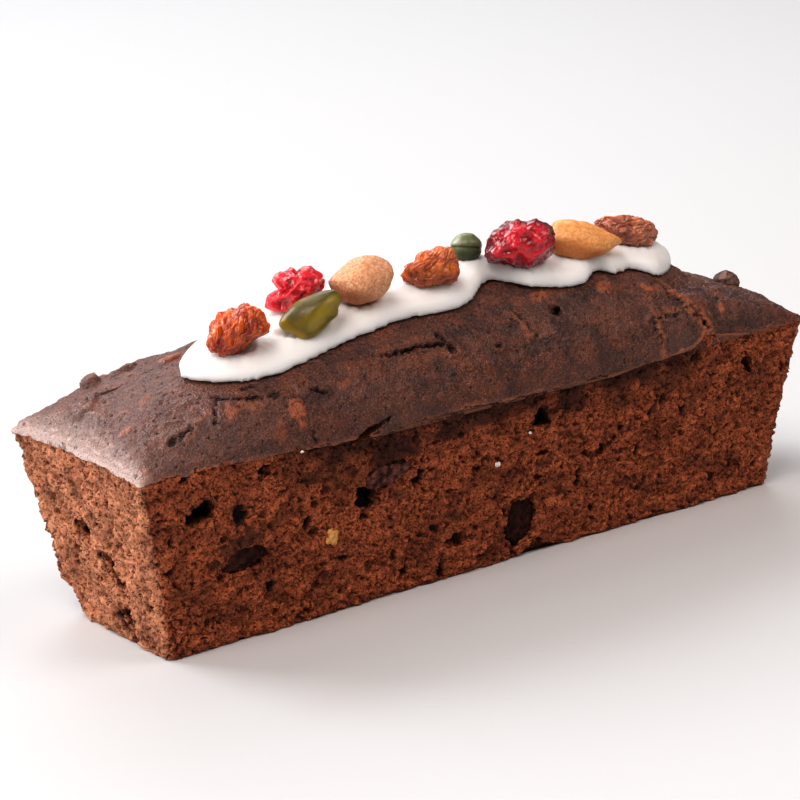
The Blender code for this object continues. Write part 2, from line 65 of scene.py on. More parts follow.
MM = 0.001
CRUMB_GRID = 0.41 * MM  # how finely the crumb is divided
CRUST_GRID = 0.42 * MM
SHARE_OF_BUBBLES = 1
LOAF_LOW, LOAF_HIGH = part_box("cake")
HALF_LENGTH, HALF_WIDTH = LOAF_HIGH.x, LOAF_HIGH.y
MARGIN = 0.1 * MM  # how far the sculpted loaf keeps inside the box of its solid
RIM = 45.5 * MM  # the height of the tin
TAPER = 7.3 * MM  # how far its walls lean in, down to the base
CRUMB_TOP = 48.3 * MM  # where the crumb ends, out of sight under the crust

# The lower edge of the crust, along the front wall: place, height.
FRONT_SEAM = (
    (-100, 46), (-79, 45.7), (-60, 44.7), (-36, 43), (-13, 44.8), (20, 43.3), (37, 43), (61, 45),
    (65.5, 47.6), (72, 46.2), (81, 45.2), (100, 45.4),
)


def only(piece):
    """Selects one piece and nothing else."""
    bpy.ops.object.select_all(action="DESELECT")
    piece.select_set(True)
    bpy.context.view_layer.objects.active = piece


def edit_all(piece):
    """Opens a piece in edit mode with all its faces selected."""
    only(piece)
    bpy.context.tool_settings.mesh_select_mode = (False, False, True)
    bpy.ops.object.mode_set(mode="EDIT")
    bpy.ops.mesh.select_all(action="SELECT")


def new_object(name, data):
    """A new object in the scene."""
    made = bpy.data.objects.new(name, data)
    bpy.context.scene.collection.objects.link(made)
    return made


def copy_solid(name, node):
    """A copy of a solid, with the points that its triangles share made one."""
    piece = new_object(name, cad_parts[node].data.copy())
    piece.data.materials.clear()
    edit_all(piece)
    bpy.ops.mesh.remove_doubles(threshold=0.001 * MM)
    bpy.ops.mesh.customdata_custom_splitnormals_clear()
    bpy.ops.object.mode_set(mode="OBJECT")
    return piece


def apply_modifier(piece, kind, **settings):
    """Adds a modifier to a piece and applies it."""
    only(piece)
    modifier = piece.modifiers.new(kind.lower(), kind)
    for key, value in settings.items():
        setattr(modifier, key, value)
    bpy.ops.object.modifier_apply(modifier=modifier.name)


def regrid(piece, size):
    """Gives a piece an even grid of small faces, so that it can be sculpted."""
    apply_modifier(piece, "REMESH", mode="VOXEL", voxel_size=size, adaptivity=0)


def read(piece, field):
    """A vector for each vertex of a piece, as an array."""
    values = np.empty(len(piece.data.vertices) * 3, np.float32)
    piece.data.vertices.foreach_get(field, values)
    return values.reshape(-1, 3)


def place_vertices(piece, places):
    """Moves the vertices of a piece to new places."""
    piece.data.vertices.foreach_set("co", np.ascontiguousarray(places, np.float32).ravel())
    piece.data.update()


def paint(piece, **layers):
    """Stores named values at each vertex, for a material to read."""
    for name, values in layers.items():
        layer = piece.data.attributes.new(name, "FLOAT", "POINT")
        layer.data.foreach_set("value", np.ascontiguousarray(values, np.float32))


def smooth(t):
    """A soft step from 0 to 1."""
    t = np.clip(t, 0, 1)
    return t * t * (3 - 2 * t)


def shifted(seed):
    """A place in the noise for each seed."""
    return Vector((seed * 3.7, seed * 1.9, seed * 5.3))


def ripple(places, size, seed, octaves=1):
    """Soft unevenness from -1 to 1, with lumps of about the given size."""
    shift = shifted(seed)
    total = np.zeros(len(places), np.float32)
    for octave in range(octaves):
        grow = 2**octave / size
        total += [noise.noise(Vector(p) * grow + shift) / 2**octave for p in places.tolist()]
    return total


def ripple_moves(places, size, seed, octaves=1):
    """Unevenness in all three directions."""
    return np.stack([ripple(places, size, seed + axis, octaves) for axis in range(3)], 1)


def seam_height(places):
    """The height where the crumb ends and the crust begins."""
    x, y = places[:, 0], places[:, 1]
    along, heights = zip(*FRONT_SEAM)
    front = np.interp(x / MM, along, heights) * MM
    back = RIM - (1.1 + 0.9 * np.sin(x / (17 * MM))) * MM
    long_side = np.where(y < 0, front, back)
    end = RIM + 1.2 * MM * (1 - (y / HALF_WIDTH) ** 2)
    scallops = 0.14 * np.sin((x + y) / (1.1 * MM)) + 0.2 * np.sin((x - y) / (2.9 * MM))
    scallops += 0.12 * np.sin(x / (0.63 * MM))
    to_end = smooth((HALF_LENGTH - np.abs(x)) / (6 * MM))
    return end + (long_side - end) * to_end + scallops * MM


def above_seam(places):
    """How far each place lies above the lower edge of the crust."""
    return places[:, 2] - seam_height(places)


def wall_inset(x, y, z):
    """How far each place lies inside the walls of the tin on +X and +Y."""
    lean = TAPER * np.maximum(1 - z / RIM, 0)
    return np.minimum(HALF_LENGTH - lean - x, HALF_WIDTH - lean - y)


def keep_inside(places):
    """Holds places inside the box of the loaf."""
    for axis, half in enumerate((HALF_LENGTH, HALF_WIDTH)):
        places[:, axis] = np.clip(places[:, axis], MARGIN - half, half - MARGIN)


def store_moves(piece, moves):
    """Keeps how far each vertex is to be sculpted, so that the piece can be cut while plain."""
    layer = piece.data.attributes.new("moves", "FLOAT_VECTOR", "POINT")
    layer.data.foreach_set("vector", np.ascontiguousarray(moves, np.float32).ravel())


def sculpt(piece):
    """Moves the vertices of a piece as stored."""
    layer = piece.data.attributes["moves"]
    moves = np.empty(len(piece.data.vertices) * 3, np.float32)
    layer.data.foreach_get("vector", moves)
    place_vertices(piece, read(piece, "co") + moves.reshape(-1, 3))
    piece.data.attributes.remove(layer)


def bisect(piece, point, way, **which):
    """Cuts a closed piece by a plane, drops one side and closes the cut with a flat face."""
    edit_all(piece)
    bpy.ops.mesh.bisect(plane_co=point, plane_no=way, use_fill=True, threshold=1e-8, **which)
    bpy.ops.mesh.mark_sharp()
    bpy.ops.mesh.quads_convert_to_tris(ngon_method="CLIP")
    bpy.ops.object.mode_set(mode="OBJECT")


def thin(piece, chosen, share):
    """Thins a piece where its vertices are chosen, down to a share of its faces there."""
    group = piece.vertex_groups.new(name="thin")
    group.add(np.flatnonzero(chosen).tolist(), 1, "ADD")
    ratio = 1 - (1 - share) * chosen.mean()
    apply_modifier(piece, "DECIMATE", ratio=ratio, vertex_group="thin")
    piece.vertex_groups.clear()


def halve(piece, near_name, far_name, point, way, share):
    """Splits a piece in two, sculpts both, and thins the far half, which is looked at less."""
    far = new_object(far_name, piece.data.copy())
    piece.name = near_name
    bisect(piece, point, way, clear_outer=True)
    bisect(far, point, way, clear_inner=True)
    sculpt(piece)
    sculpt(far)
    apply_modifier(far, "DECIMATE", ratio=share)
    return piece, far


def tree_of(places):
    """The places, laid out so that the nearest ones are found fast."""
    tree = kdtree.KDTree(len(places))
    for index, place in enumerate(places.tolist()):
        tree.insert(place, index)
    tree.balance()
    return tree


def open_bubbles(places, normals, where, sizes):
    """Cuts bubbles into a surface, and gives the depth at each place.

    Each bubble is an uneven ball about a random point near one of the places in where,
    and what lies inside it is sunk to its far wall. A size has the number of bubbles,
    their smallest and largest radius, a seed and the greatest depth.
    """
    tree = tree_of(places)
    depths = np.zeros(len(places), np.float32)
    for count, small, large, seed, deepest in sizes:
        draw = random.Random(seed)
        for _ in range(int(count * SHARE_OF_BUBBLES)):
            chosen = draw.choice(where)
            radius = small * MM + (large * MM - small * MM) * draw.random() ** 3
            centre = Vector(places[chosen])
            centre += Vector(normals[chosen]) * draw.uniform(-0.9, 0.5) * radius
            for place, index, distance in tree.find_range(centre, radius * 1.3):
                edge = radius * (1 + 0.45 * noise.noise(place / (radius * 0.8)))
                if distance < edge:
                    inwards = (place - centre).dot(Vector(normals[index]))
                    depth = inwards + math.sqrt(edge**2 - distance**2 + inwards**2)
                    depths[index] = max(depths[index], min(depth, deepest * MM))
    return depths


def ovals(across, up, rows, wobble, rim=1.2, blur=0.5, unit=1):
    """The strongest of some ragged ovals at each place.

    across and up are each place's coordinates in their plane, and an oval has its own
    coordinates in mm, its length, its width, its turn in degrees and its strength.
    """
    strongest = np.zeros(len(across), np.float32)
    for at_across, at_up, length, width, turn, strength in rows:
        cos, sin = math.cos(math.radians(turn)), math.sin(math.radians(turn))
        a, b = across - at_across * MM, up - at_up * MM
        reach = np.hypot((a * cos + b * sin) / (length / 2), (b * cos - a * sin) / (width / 2))
        share = smooth((rim - reach / MM - wobble) / blur)
        strongest = np.maximum(strongest, strength * unit * share)
    return strongest


# Pockets torn in the walls that show, in the front one and in the left end: place along
# the wall, height, width, tallness, lean, depth.
FRONT_POCKETS = (
    (-73.3, 31.4, 4.8, 6, 8, 1.7), (-77.6, 27, 3.2, 2.2, 30, 1.2), (-81.1, 21.4, 4.4, 3, 0, 0.9),
    (-68.8, 15.9, 3, 1.5, 10, 1.4), (-64.9, 12.3, 3.3, 2.3, 25, 1.5),
    (-81.8, 7.2, 1.7, 2.3, -20, 1.3), (-88.9, 44, 3.2, 2.3, 15, 1.6),
    (-94.8, 43.4, 1.8, 1.6, 0, 1.3), (-54.6, 25.4, 2.6, 4.2, -20, 1.9),
    (-53.4, 22, 2.2, 1.8, 0, 1.2), (-43.3, 13.8, 2.6, 1.6, 20, 1.4),
    (-37.4, 22.2, 3.2, 1.7, 0, 1.6), (-26.5, 4.9, 2.7, 3.8, -8, 1.9),
    (-23.3, 28.8, 2.8, 4.8, -25, 2.4), (-19.5, 30.4, 2.4, 1.6, 0, 1.4),
    (-4.8, 27.2, 1.9, 3.6, -32, 2.2), (1.2, 27.2, 2, 2.8, -20, 1.6), (-5.7, 30.9, 1.4, 1.2, 0, 1),
    (-13.6, 23.3, 1.3, 1.4, 0, 1.2), (0.5, 17.7, 2.2, 1.8, 0, 1.2), (4.8, 23.8, 1.3, 1.3, 0, 1),
    (-17.8, 14.6, 3.4, 2.8, 0, 1.4), (-15.3, 2.6, 2.9, 4.6, -8, 2), (-3, 3.4, 2.4, 1.6, 0, 1.5),
    (6.9, 8, 4.4, 12, 4, 1.6), (11.2, 12.2, 2.6, 2.4, 0, 1.5), (7.5, 1, 3, 3, 0, 2),
    (21.6, 38, 1.6, 3.2, -10, 0.9), (29.8, 29.9, 1.4, 2, -30, 1.3),
    (40.3, 28.2, 1.3, 2.8, -28, 1.7), (37.1, 24.7, 1.6, 3.6, -40, 1.4),
    (27, 17.7, 1.7, 5.2, -18, 2.2), (21.8, 21.7, 1.1, 1.9, -20, 1.1), (32.4, 8.4, 1.6, 3, -14, 1.6),
    (32.3, 4.9, 1.8, 2, 0, 1.3), (25.6, 4.8, 1.3, 2, -10, 1), (39.1, 13.1, 1.2, 2.2, -35, 0.8),
    (46.3, 20.5, 1.5, 4.2, -24, 1.5), (47.4, 9.3, 1.5, 2, -20, 1.1), (48.7, 12, 1.3, 1.8, -20, 0.9),
    (48.9, 29.5, 1.4, 3, -32, 1.4), (53.2, 32.3, 1.5, 3, -36, 1.4), (59.6, 28, 1.5, 3.4, -40, 1.3),
    (63, 41.4, 4, 3, -20, 1.1), (66.2, 9.1, 1.9, 1.5, 0, 1.1), (68.5, 2.9, 1.3, 4.6, -48, 0.8),
    (72.4, 19.2, 1.3, 4.6, -62, 1.3), (73, 9.9, 1.4, 1.5, 0, 0.9), (77.9, 8.9, 1.7, 2, 0, 1.2),
    (85.5, 28.3, 1.6, 1.6, 0, 0.9), (86.6, 22.1, 1.4, 2, 0, 1), (87.9, 15.7, 2.2, 2.2, 0, 0.8),
    (87.1, 7.2, 1.7, 1.7, 0, 1.1), (91.5, 7.1, 2, 2.6, 0, 1.2), (93.6, 32.8, 2, 3.4, 20, 1.9),
    (74, 30, 2, 9, -45, 0.7), (-92, 29.6, 1.6, 2, 0, 1), (-56, 35.6, 2, 1.4, 20, 1),
    (-44, 36.2, 3, 1.8, 10, 0.9), (-12, 37.4, 2, 1.5, -20, 1.1),
)
END_POCKETS = (
    (-12, 25.8, 3, 3.6, 0, 1.2), (8, 24.6, 3.6, 4.6, 55, 1.6), (-3.6, 17.2, 10.5, 3, 52, 2.4),
    (0.6, 20.8, 4, 2.6, 30, 1.4), (-4.6, 4.8, 13.5, 3.2, 43, 2.6), (1.8, 8.7, 2.6, 2.2, 40, 1.3),
    (10.4, 38, 2.6, 1.8, 30, 1.3), (-9.5, 36.4, 2.2, 2, 0, 1.1), (13.2, 15, 2, 3, 50, 0.9),
    (-20, 12, 1.8, 2.4, 0, 0.8), (15.5, 6, 4, 2, 40, 0.9),
)
# Smears of fruit and of unbroken skin, where the front wall is smooth and a purplish
# brown: the same, with a strength for the depth.
FRONT_SMEARS = (
    (-73, 24.6, 13, 7, 24, 1), (-64, 28.5, 9, 4, 20, 0.5), (-74, 33, 5, 5, 0, 0.7),
    (-31, 36, 15, 6, 8, 0.9), (-46, 35, 10, 6, 0, 0.6), (-28, 26, 7, 4, 0, 0.6),
    (-10, 39.5, 22, 5, 5, 0.8), (-12, 16.5, 5, 4, 0, 0.8), (6.5, 11, 5.5, 11, 4, 0.9),
    (15, 23.5, 4.5, 4, 0, 0.7), (21.5, 37.5, 3, 5, 0, 0.8), (55, 37.5, 22, 6, -8, 0.6),
    (64, 32, 5, 16, -38, 0.6), (74, 24, 4, 6, -30, 0.6), (49.5, 9, 5, 5, 0, 0.7),
    (43, 12, 4, 4, 0, 0.4), (83, 34, 5, 8, -30, 0.5),
)
# Bubbles: how many, smallest and largest radius, seed, greatest depth.
BUBBLES = ((24000, 0.25, 0.6, 1, 0.8), (1900, 0.45, 1, 2, 1.5), (90, 0.9, 1.6, 3, 2.2))
# Hollows under the front edge of the base: place, half width, height.
HOLLOWS = ((54, 4, 1.3), (15, 5.5, 2.5))
WORN_CORNER = np.array([-93, 23.5, 0]) * MM


def spread_pockets(count, reach, seed):
    """Pockets for a wall that the camera doesn't see, spread at random."""
    draw = random.Random(seed)
    rows = []
    for _ in range(count):
        place = (draw.uniform(-reach, reach), draw.uniform(4, 42))
        size = 1.2 + 2.6 * draw.random() ** 2
        tall, lean = size * draw.uniform(0.8, 1.6), draw.uniform(-50, 50)
        rows.append((*place, size, tall, lean, draw.uniform(0.9, 1.9)))
    return rows


crumb, crust = copy_solid("cake_crumb", "cake"), copy_solid("cake_crust", "cake")
regrid(crumb, CRUMB_GRID)
regrid(crust, CRUST_GRID)

# The crust is cut off along its lower edge, as a piece of its own. The crumb goes on a
# little way under it.
places = read(crust, "co")
places[:, 2] -= seam_height(places)
place_vertices(crust, places)
bisect(crust, (0, 0, -0.2 * MM), (0, 0, 1), clear_inner=True)
places = read(crust, "co")
places[:, 2] += seam_height(places)
place_vertices(crust, places)
bisect(crumb, (0, 0, CRUMB_TOP), (0, 0, 1), clear_outer=True)
bisect(crumb, (0, 0, MARGIN), (0, 0, 1), clear_inner=True)

plain, normals = read(crumb, "co"), read(crumb, "normal")
places = plain.copy()
x, y, z = places.T  # these follow the places as they move
inset, under_crust = wall_inset(*np.abs(places).T), above_seam(places)
on_front = (normals[:, 1] < -0.5) & (y < -15 * MM)
on_end = (normals[:, 0] < -0.5) & (x < -85 * MM)
on_back = (normals[:, 1] > 0.5) & (y > 15 * MM)
on_far_end = (normals[:, 0] > 0.5) & (x > 85 * MM)
wobble = 0.5 * ripple(places, 1.7 * MM, 9, 2)
smears = ovals(x, z, FRONT_SMEARS, wobble, 1.15, 0.6, MM) / MM * on_front
walls = (z > 0.3 * MM) & (np.abs(normals[:, 2]) < 0.9) & (under_crust < MM)
depths = open_bubbles(places, normals, np.flatnonzero(walls).tolist(), BUBBLES)
depths *= 1 - 0.7 * smears
pockets = np.zeros(len(places), np.float32)
for across, rows, wall in (
    (x, FRONT_POCKETS, on_front),
    (y, END_POCKETS, on_end),
    (x, spread_pockets(46, 93, 21), on_back),
    (y, spread_pockets(14, 26, 22), on_far_end),
):
    pockets += ovals(across, z, rows, wobble, 1.15, 0.6, MM) * wall
grain = ripple(places, 0.75 * MM, 1, 2)
jitter = np.random.default_rng(4).normal(0, 0.05, len(places)).astype(np.float32)
waves = 0.14 * MM * (1 + ripple(places, 5 * MM, 2))
granular = (0.1 + 0.22 * grain + jitter) * MM * (1 - 0.5 * smears)
sunk = np.maximum(depths, pockets) + waves + granular
sunk += 2 * MM * smooth(under_crust / (0.9 * MM))

# The edges of holes and of the base tear unevenly.
tear = ripple_moves(places, 1.4 * MM, 5, 2)
tear += ripple_moves(places, 3.4 * MM, 8)
tear[:, 2] *= smooth(z / (3 * MM))
tear *= (0.75 * MM * smooth(-under_crust / (1.5 * MM)))[:, None]
sunk *= normals[:, 2] > -0.9
places += tear - normals * sunk[:, None]

# Under the front wall the base is hollow in two places, and one corner is worn round.
lift = 0.5 * np.clip(ripple(places, 7 * MM, 15), 0, 1)
for place, width, height in HOLLOWS:
    lift += height * np.exp(-(((x - place * MM) / (width * MM)) ** 2))
under_front = smooth((y + 5 * MM) / (-8 * MM))
places[:, 2] = np.maximum(z, (lift * under_front + 0.5 * np.clip(grain, 0, 1)) * MM)
worn = 1.8 * MM * smooth(1 - np.linalg.norm(places - WORN_CORNER, axis=1) / (13 * MM))
places += np.array([1, -1, 0]) * worn[:, None]
keep_inside(places)
places[:, 2] = np.maximum(z, LOAF_LOW.z)
store_moves(crumb, places - plain)

long_front = on_front * smooth((x + 72 * MM) / (20 * MM)) * smooth((70 * MM - x) / (16 * MM))
near_seam = (under_crust + (9.5 + 7 * ripple(plain, 6 * MM, 17)) * MM) / (8 * MM)
# A painted sheen: the crumb is painted paler within about 2 mm of the ends and the back.
dry_inset = wall_inset(np.abs(x), y, plain[:, 2])  # the ends and the back
# Painted shade: depth darkens the crumb down in its bubbles, and hollow darkens it deep inside the
# wall and in the pockets.
paint(
    crumb, depth=np.clip(depths / (0.8 * MM) - 0.6 * np.clip(-grain - 0.05, -1, 0), 0, 1),
    hollow=np.maximum(smooth((inset - 0.9 * MM) / (3.2 * MM)), smooth(pockets / (1.6 * MM))),
    smear=smears, dry=smooth((2.2 * MM - dry_inset) / (1.8 * MM)),
    baked=long_front * smooth(near_seam),
)
# The two halves of the crumb meet along the far corners of the walls.
crumb_halves = halve(
    crumb, "cake_crumb_near", "cake_crumb_far", point=(101.5 * MM, -30.5 * MM, 45.5 * MM),
    way=(0.290, 0.952, 0.106), share=0.35,
)
# The near half is thinned under the crust and on its base, where it doesn't show.
places, normals = read(crumb, "co"), read(crumb, "normal")
on_base = (places[:, 2] < 1.5 * MM) & (normals[:, 2] < -0.6)
thin(crumb, (above_seam(places) > 0.8 * MM) | on_base, 0.1)


def linear(hex_colour):
    """The linear red, green, blue and alpha of an sRGB hex colour."""
    parts = [int(hex_colour[i : i + 2], 16) / 255 for i in (0, 2, 4)]
    return [c / 12.92 if c <= 0.04045 else ((c + 0.055) / 1.055) ** 2.4 for c in parts] + [1]


def new_material(name, **sockets):
    """A material whose shader has these fixed values."""
    material = bpy.data.materials.new(name)
    material.use_nodes = True
    shader = material.node_tree.nodes["Principled BSDF"]
    for key, value in sockets.items():
        shader.inputs[key.replace("_", " ")].default_value = value
    return material


def add(material, kind, inputs=None, **settings):
    """Adds a node with its settings and links, and gives its output.

    A setting with a capital is a socket, and _ stands for a space in its name. A colour
    is written in hex, and a texture reads Object coordinates.
    """
    node = material.node_tree.nodes.new("ShaderNode" + kind)
    if kind in ("TexNoise", "TexVoronoi"):
        settings["Vector"] = add(material, "TexCoord")
    for key, value in {**settings, **(inputs or {})}.items():
        if isinstance(key, str) and key[0].islower():
            setattr(node, key, value)
            continue
        socket = node.inputs[key.replace("_", " ") if isinstance(key, str) else key]
        if isinstance(value, bpy.types.NodeSocket):
            material.node_tree.links.new(value, socket)
        else:
            socket.default_value = linear(value) if isinstance(value, str) else value
    return node.outputs[{"TexCoord": "Object", "Attribute": "Fac", "Mix": 2}.get(kind, 0)]


def lay_tones(material, colour, *tones):
    """Lays tones over a colour: a pattern or a painted value says where, and a share how much."""
    for where, share, tone in tones:
        if isinstance(where, str):
            where = add(material, "Attribute", attribute_name=where)
        where = add(material, "Math", {0: where, 1: share}, operation="MULTIPLY")
        colour = add(material, "Mix", {0: where, 6: colour, 7: tone}, data_type="RGBA")
    return colour


def finish(piece, material, slot, *nodes, **sockets):
    """Links the last colour, roughness and normal, and puts the material on a piece."""
    for key, output in sockets.items():
        socket = material.node_tree.nodes["Principled BSDF"].inputs[key.replace("_", " ")]
        if not socket.is_linked:
            material.node_tree.links.new(output, socket)
    piece.data.materials.clear()
    piece.data.materials.append(material)
    piece.data.shade_smooth()
    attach(piece, "root")
    if nodes:
        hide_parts(*nodes)


# Cocoa sponge: matt and granular, orange-brown where its grains catch the light. Painted
# shade makes it nearly black in its pores and bubbles, and a painted sheen makes it paler on
# the ends and back. Its pores are drawn 0.8 mm apart and its grains 0.45 mm, as real ones are.
sponge = new_material("cocoa_sponge", Roughness=0.65, IOR=1.4, Specular_IOR_Level=0.3)
fine = add(sponge, "TexNoise", Scale=1 / (0.45 * MM), Roughness=0.6)
cells = add(sponge, "TexVoronoi", Scale=1 / (0.8 * MM))
cloud = add(sponge, "TexNoise", Scale=1 / (7 * MM), Detail=3)
grains, patches, rims, pores = (
    add(sponge, "MapRange", Value=pattern, From_Min=low, From_Max=high)
    for pattern, low, high in (
        (fine, 0.34, 0.66), (cloud, 0.45, 0.7), (cells, 0.08, 0.4), (cells, 0.4, 0.08),
    )
)
# Here the pale tone near the ends and back is a painted sheen, and the tones for the pores, depth
# and hollow are painted shade.
colour = lay_tones(
    sponge, "92482E", (grains, 1, "D07C50"), ("dry", 0.5, "E2AC88"), (patches, 0.65, "5E2A1C"),
    (pores, 0.85, "5A2412"), ("smear", 0.8, "45241C"), ("baked", 0.9, "3C1C14"),
    ("depth", 0.7, "481C0E"), ("hollow", 1, "140806"),
)
normal = add(sponge, "Bump", Height=fine, Distance=0.3 * MM)
normal = add(sponge, "Bump", Height=rims, Distance=0.3 * MM, Normal=normal)
for half in crumb_halves:
    finish(half, sponge, "cake", "cake", Base_Color=colour, Normal=normal)

# --- Loaf: the crust ---
# The same batter where it rose over the tin and dried brown in the oven. It is a thin
# skin with fine pits, cracked where the dome lifted, and pale where nuts show through.

# Cracks: width, depth, and the points that each runs through along and across the loaf.
# A third number gives the height where a point lies on the steep side.
CRACKS = (
    (0.8, 1.7, ((-28.5, -22.6), (-24, -23.3), (-17, -23.1), (-10.5, -23.9))),
    (1.1, 1.8, ((-11.8, -21.4), (-10.6, -23.6), (-9.2, -25.6))),
    (0.6, 1.2, ((-53.6, -22.3), (-50.8, -24.7), (-47, -26.2))),
    (0.8, 1.2, ((-65.9, -19.9), (-62.5, -20.1))),
    (0.7, 1.2, ((-73.4, -19.2), (-70.6, -21.2), (-67.3, -23), (-64, -23.4), (-61, -24.2))),
    (0.45, 0.9, ((-73, -20.3), (-74.9, -22.6), (-76.3, -25.3))),
    (0.45, 0.7, ((-61.5, -24.2), (-58, -23.8))),
    (0.7, 1.2, ((-86.2, -25.4), (-84, -24.3), (-81.9, -23.7))),
    (0.6, 1, ((-88.9, -25.8), (-86.7, -24.5))),
    (
        1.2, 2.2,
        ((-44.6, -30.2, 42.2), (-41.6, -30.2, 43.2), (-37.6, -30.4, 44.4), (-32.6, -30.4, 46.5)),
    ),
    (0.5, 1, ((-53.9, -30.1, 48.2), (-53.5, -30.4, 46.6), (-53.2, -30.4, 44.9))),
    (0.35, 0.8, ((12, -20.4), (12.9, -22.6), (14.9, -26.6))),
    (0.45, 1.4, ((58.2, -17.5), (58.8, -19.4), (58.4, -22.9), (58.9, -25.3), (61.4, -26.2))),
    (0.7, 1.6, ((61.2, -26.3), (63.4, -26.8), (66.2, -29), (67, -30, 48))),
    (0.45, 1.2, ((50.6, -28.1, 53.6), (51.2, -29.2, 51.1), (51.6, -29.9, 48.4))),
    (0.4, 0.6, ((50.2, -27.6), (55, -27.8), (60.2, -28.2), (64.5, -28.6))),
    (0.5, 0.9, ((2.2, -26.4), (3.6, -26.6))),
    (0.5, 0.8, ((-44, -18.5), (-40.8, -18.4))),
    (0.6, 0.9, ((12.4, -18.8), (11.6, -20.2))),
    (1.3, 1.6, ((24.2, -21.8), (24.7, -21.9))),
    (0.6, 0.9, ((48.2, -21.2), (48.5, -21.2))),
    (0.5, 0.8, ((2, -24), (2.4, -24.1))),
    (0.5, 0.8, ((10.4, -22.6), (10.8, -22.6))),
    (0.5, 1, ((-20, 24), (-9, 25.4), (2, 25.5))),
    (0.5, 1, ((38, 22.5), (45, 24.6), (50, 28))),
    (0.5, 0.8, ((-62, 22), (-55, 24), (-50, 23.4))),
    (0.5, 0.8, ((84, 8), (88, 3), (91, -2))),
)
# Bits of nut and fruit under the skin: along, across, length, width, turn, strength.
BITS = (
    (-83.4, 16.1, 5, 3.6, 20, 0.6), (-70, 4.2, 4.6, 2.6, -10, 0.9),
    (-71.6, -24.6, 5.2, 2.4, 25, 0.8), (-56.4, -27.9, 4.4, 3.4, 0, 1), (-94, -14.8, 2.6, 2, 0, 0.8),
    (21.5, -18.9, 5, 3, 0, 0.8), (41, -20.3, 4.4, 3, 15, 0.8), (53.5, -22.4, 3.4, 2.4, -30, 1),
    (73.2, -27.6, 2.6, 2, 0, 0.9), (-41.7, -25.8, 3, 2.2, 0, 0.5), (-97.5, -28.6, 2, 1.4, 0, 0.8),
    (-62, -29.4, 3.4, 2.2, 0, 0.4), (57.5, -23, 5.4, 2.2, -20, 0.5), (-78, -22.6, 6, 1.6, 10, 0.4),
    (-85, -9, 5, 2.2, 30, 0.4), (12.6, -26, 3.4, 2, 0, 0.4), (-30, 23, 4, 3, 0, 0.7),
    (66, 20, 4, 2.6, 20, 0.8), (12, 21.5, 3.6, 2.6, -20, 0.6),
)
# Fruit under the skin lifts it: the same, with the height last.
LIFTED = (
    (-93.6, 3.6, 7, 5, 10, 0.9), (-86, 14.6, 4.6, 4, 0, 1.6), (-78, 13, 7, 4, 0, 1.1),
    (-70, 4.6, 5, 3.4, 0, 0.5), (20, -27.6, 9, 5, 0, 0.5), (66, -25.4, 10, 5, 10, 0.4),
)
# Torn crumb along the cracks, ash-grey plates and scorched smears: as the bits.
TORN = (
    (62.6, -25, 4.4, 8, 20, 1.2), (60.6, -20, 2.2, 6, 20, 0.9), (66, -29.4, 4.4, 5, 0, 1.2),
    (51.6, -29.2, 1.8, 6, 0, 1), (56, -27.4, 8, 1.4, 0, 0.8), (-68, -24.2, 12, 1.8, -14, 0.7),
    (12.3, -23.4, 1.6, 6, 15, 0.6), (-18, -25.2, 15, 1.8, 0, 0.4), (-19, -21.6, 16, 1.8, 0, 0.4),
    (-83.5, -25.4, 6, 1.6, 25, 0.5),
)
ASHEN = (
    (57, -29.4, 11, 5, 0, 1), (22, -25.5, 22, 9, 0, 0.6), (44, -26, 16, 8, 0, 0.5),
    (30, -22, 8, 5, 0, 0.7), (-30, -29, 30, 5, 0, 0.5), (84, -26, 18, 7, 0, 0.5),
)
CHARRED = (
    (36, -20.2, 10, 2.6, 10, 1), (21, -26.6, 3, 6, 10, 0.9), (-5, -22.4, 13, 2.8, -8, 0.9),
    (-33, -20.5, 8, 2, 0, 0.6), (8, -20, 5, 2.4, 0, 0.7), (47, -27.5, 4, 3, 0, 0.5),
)
# Pits: the same numbers as for the bubbles.
PITS = ((3000, 0.2, 0.45, 5, 0.5), (70, 0.4, 0.75, 6, 1))


def along_line(places, line):
    """The distance of each place from a line of points."""
    nearest = np.ones(len(places), np.float32)
    for start, end in zip(line, line[1:]):
        start, end = np.array(start), np.array(end)
        way = end - start
        share = np.clip((places - start) @ way / (way @ way), 0, 1)
        offset = places - start - share[:, None] * way
        nearest = np.minimum(nearest, np.linalg.norm(offset, axis=1))
    return nearest


def gap_to_solids(places, nodes):
    """How far each place is from the nearest point of the given solids."""
    tree = tree_of(np.concatenate([read(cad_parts[node], "co") for node in nodes]))
    return np.array([tree.find(place)[2] for place in places.tolist()], np.float32)


places, normals = read(crust, "co"), read(crust, "normal")
skin = np.flatnonzero(normals[:, 2] > 0.1)
plan = tree_of(places[skin] * np.array([1, 1, 0], np.float32))
wobble = ripple(places, 1.3 * MM, 21, 2)
drift = ripple_moves(places, 1.5 * MM, 31, 2) * 0.8 * MM
cracked, sunk, lips = (np.zeros(len(places), np.float32) for _ in range(3))
for width, depth, points in CRACKS:
    line = []
    for x, y, *z in points:
        nearest = skin[plan.find((x * MM, y * MM, 0))[1]]
        line.append((x * MM, y * MM, z[0] * MM if z else places[nearest, 2]))
    distance = along_line(places + drift, line)
    half = 0.5 * width * MM * (0.8 + 1.1 * np.clip(wobble, -0.6, 1))
    share = smooth(1.2 - distance / (half + 0.3 * MM))
    cracked = np.maximum(cracked, share)
    sunk = np.maximum(sunk, depth * MM * share)
    lips = np.maximum(lips, np.exp(-(((distance - half - 0.8 * MM) / (0.7 * MM)) ** 2)))
pits = open_bubbles(places, normals, skin.tolist(), PITS)

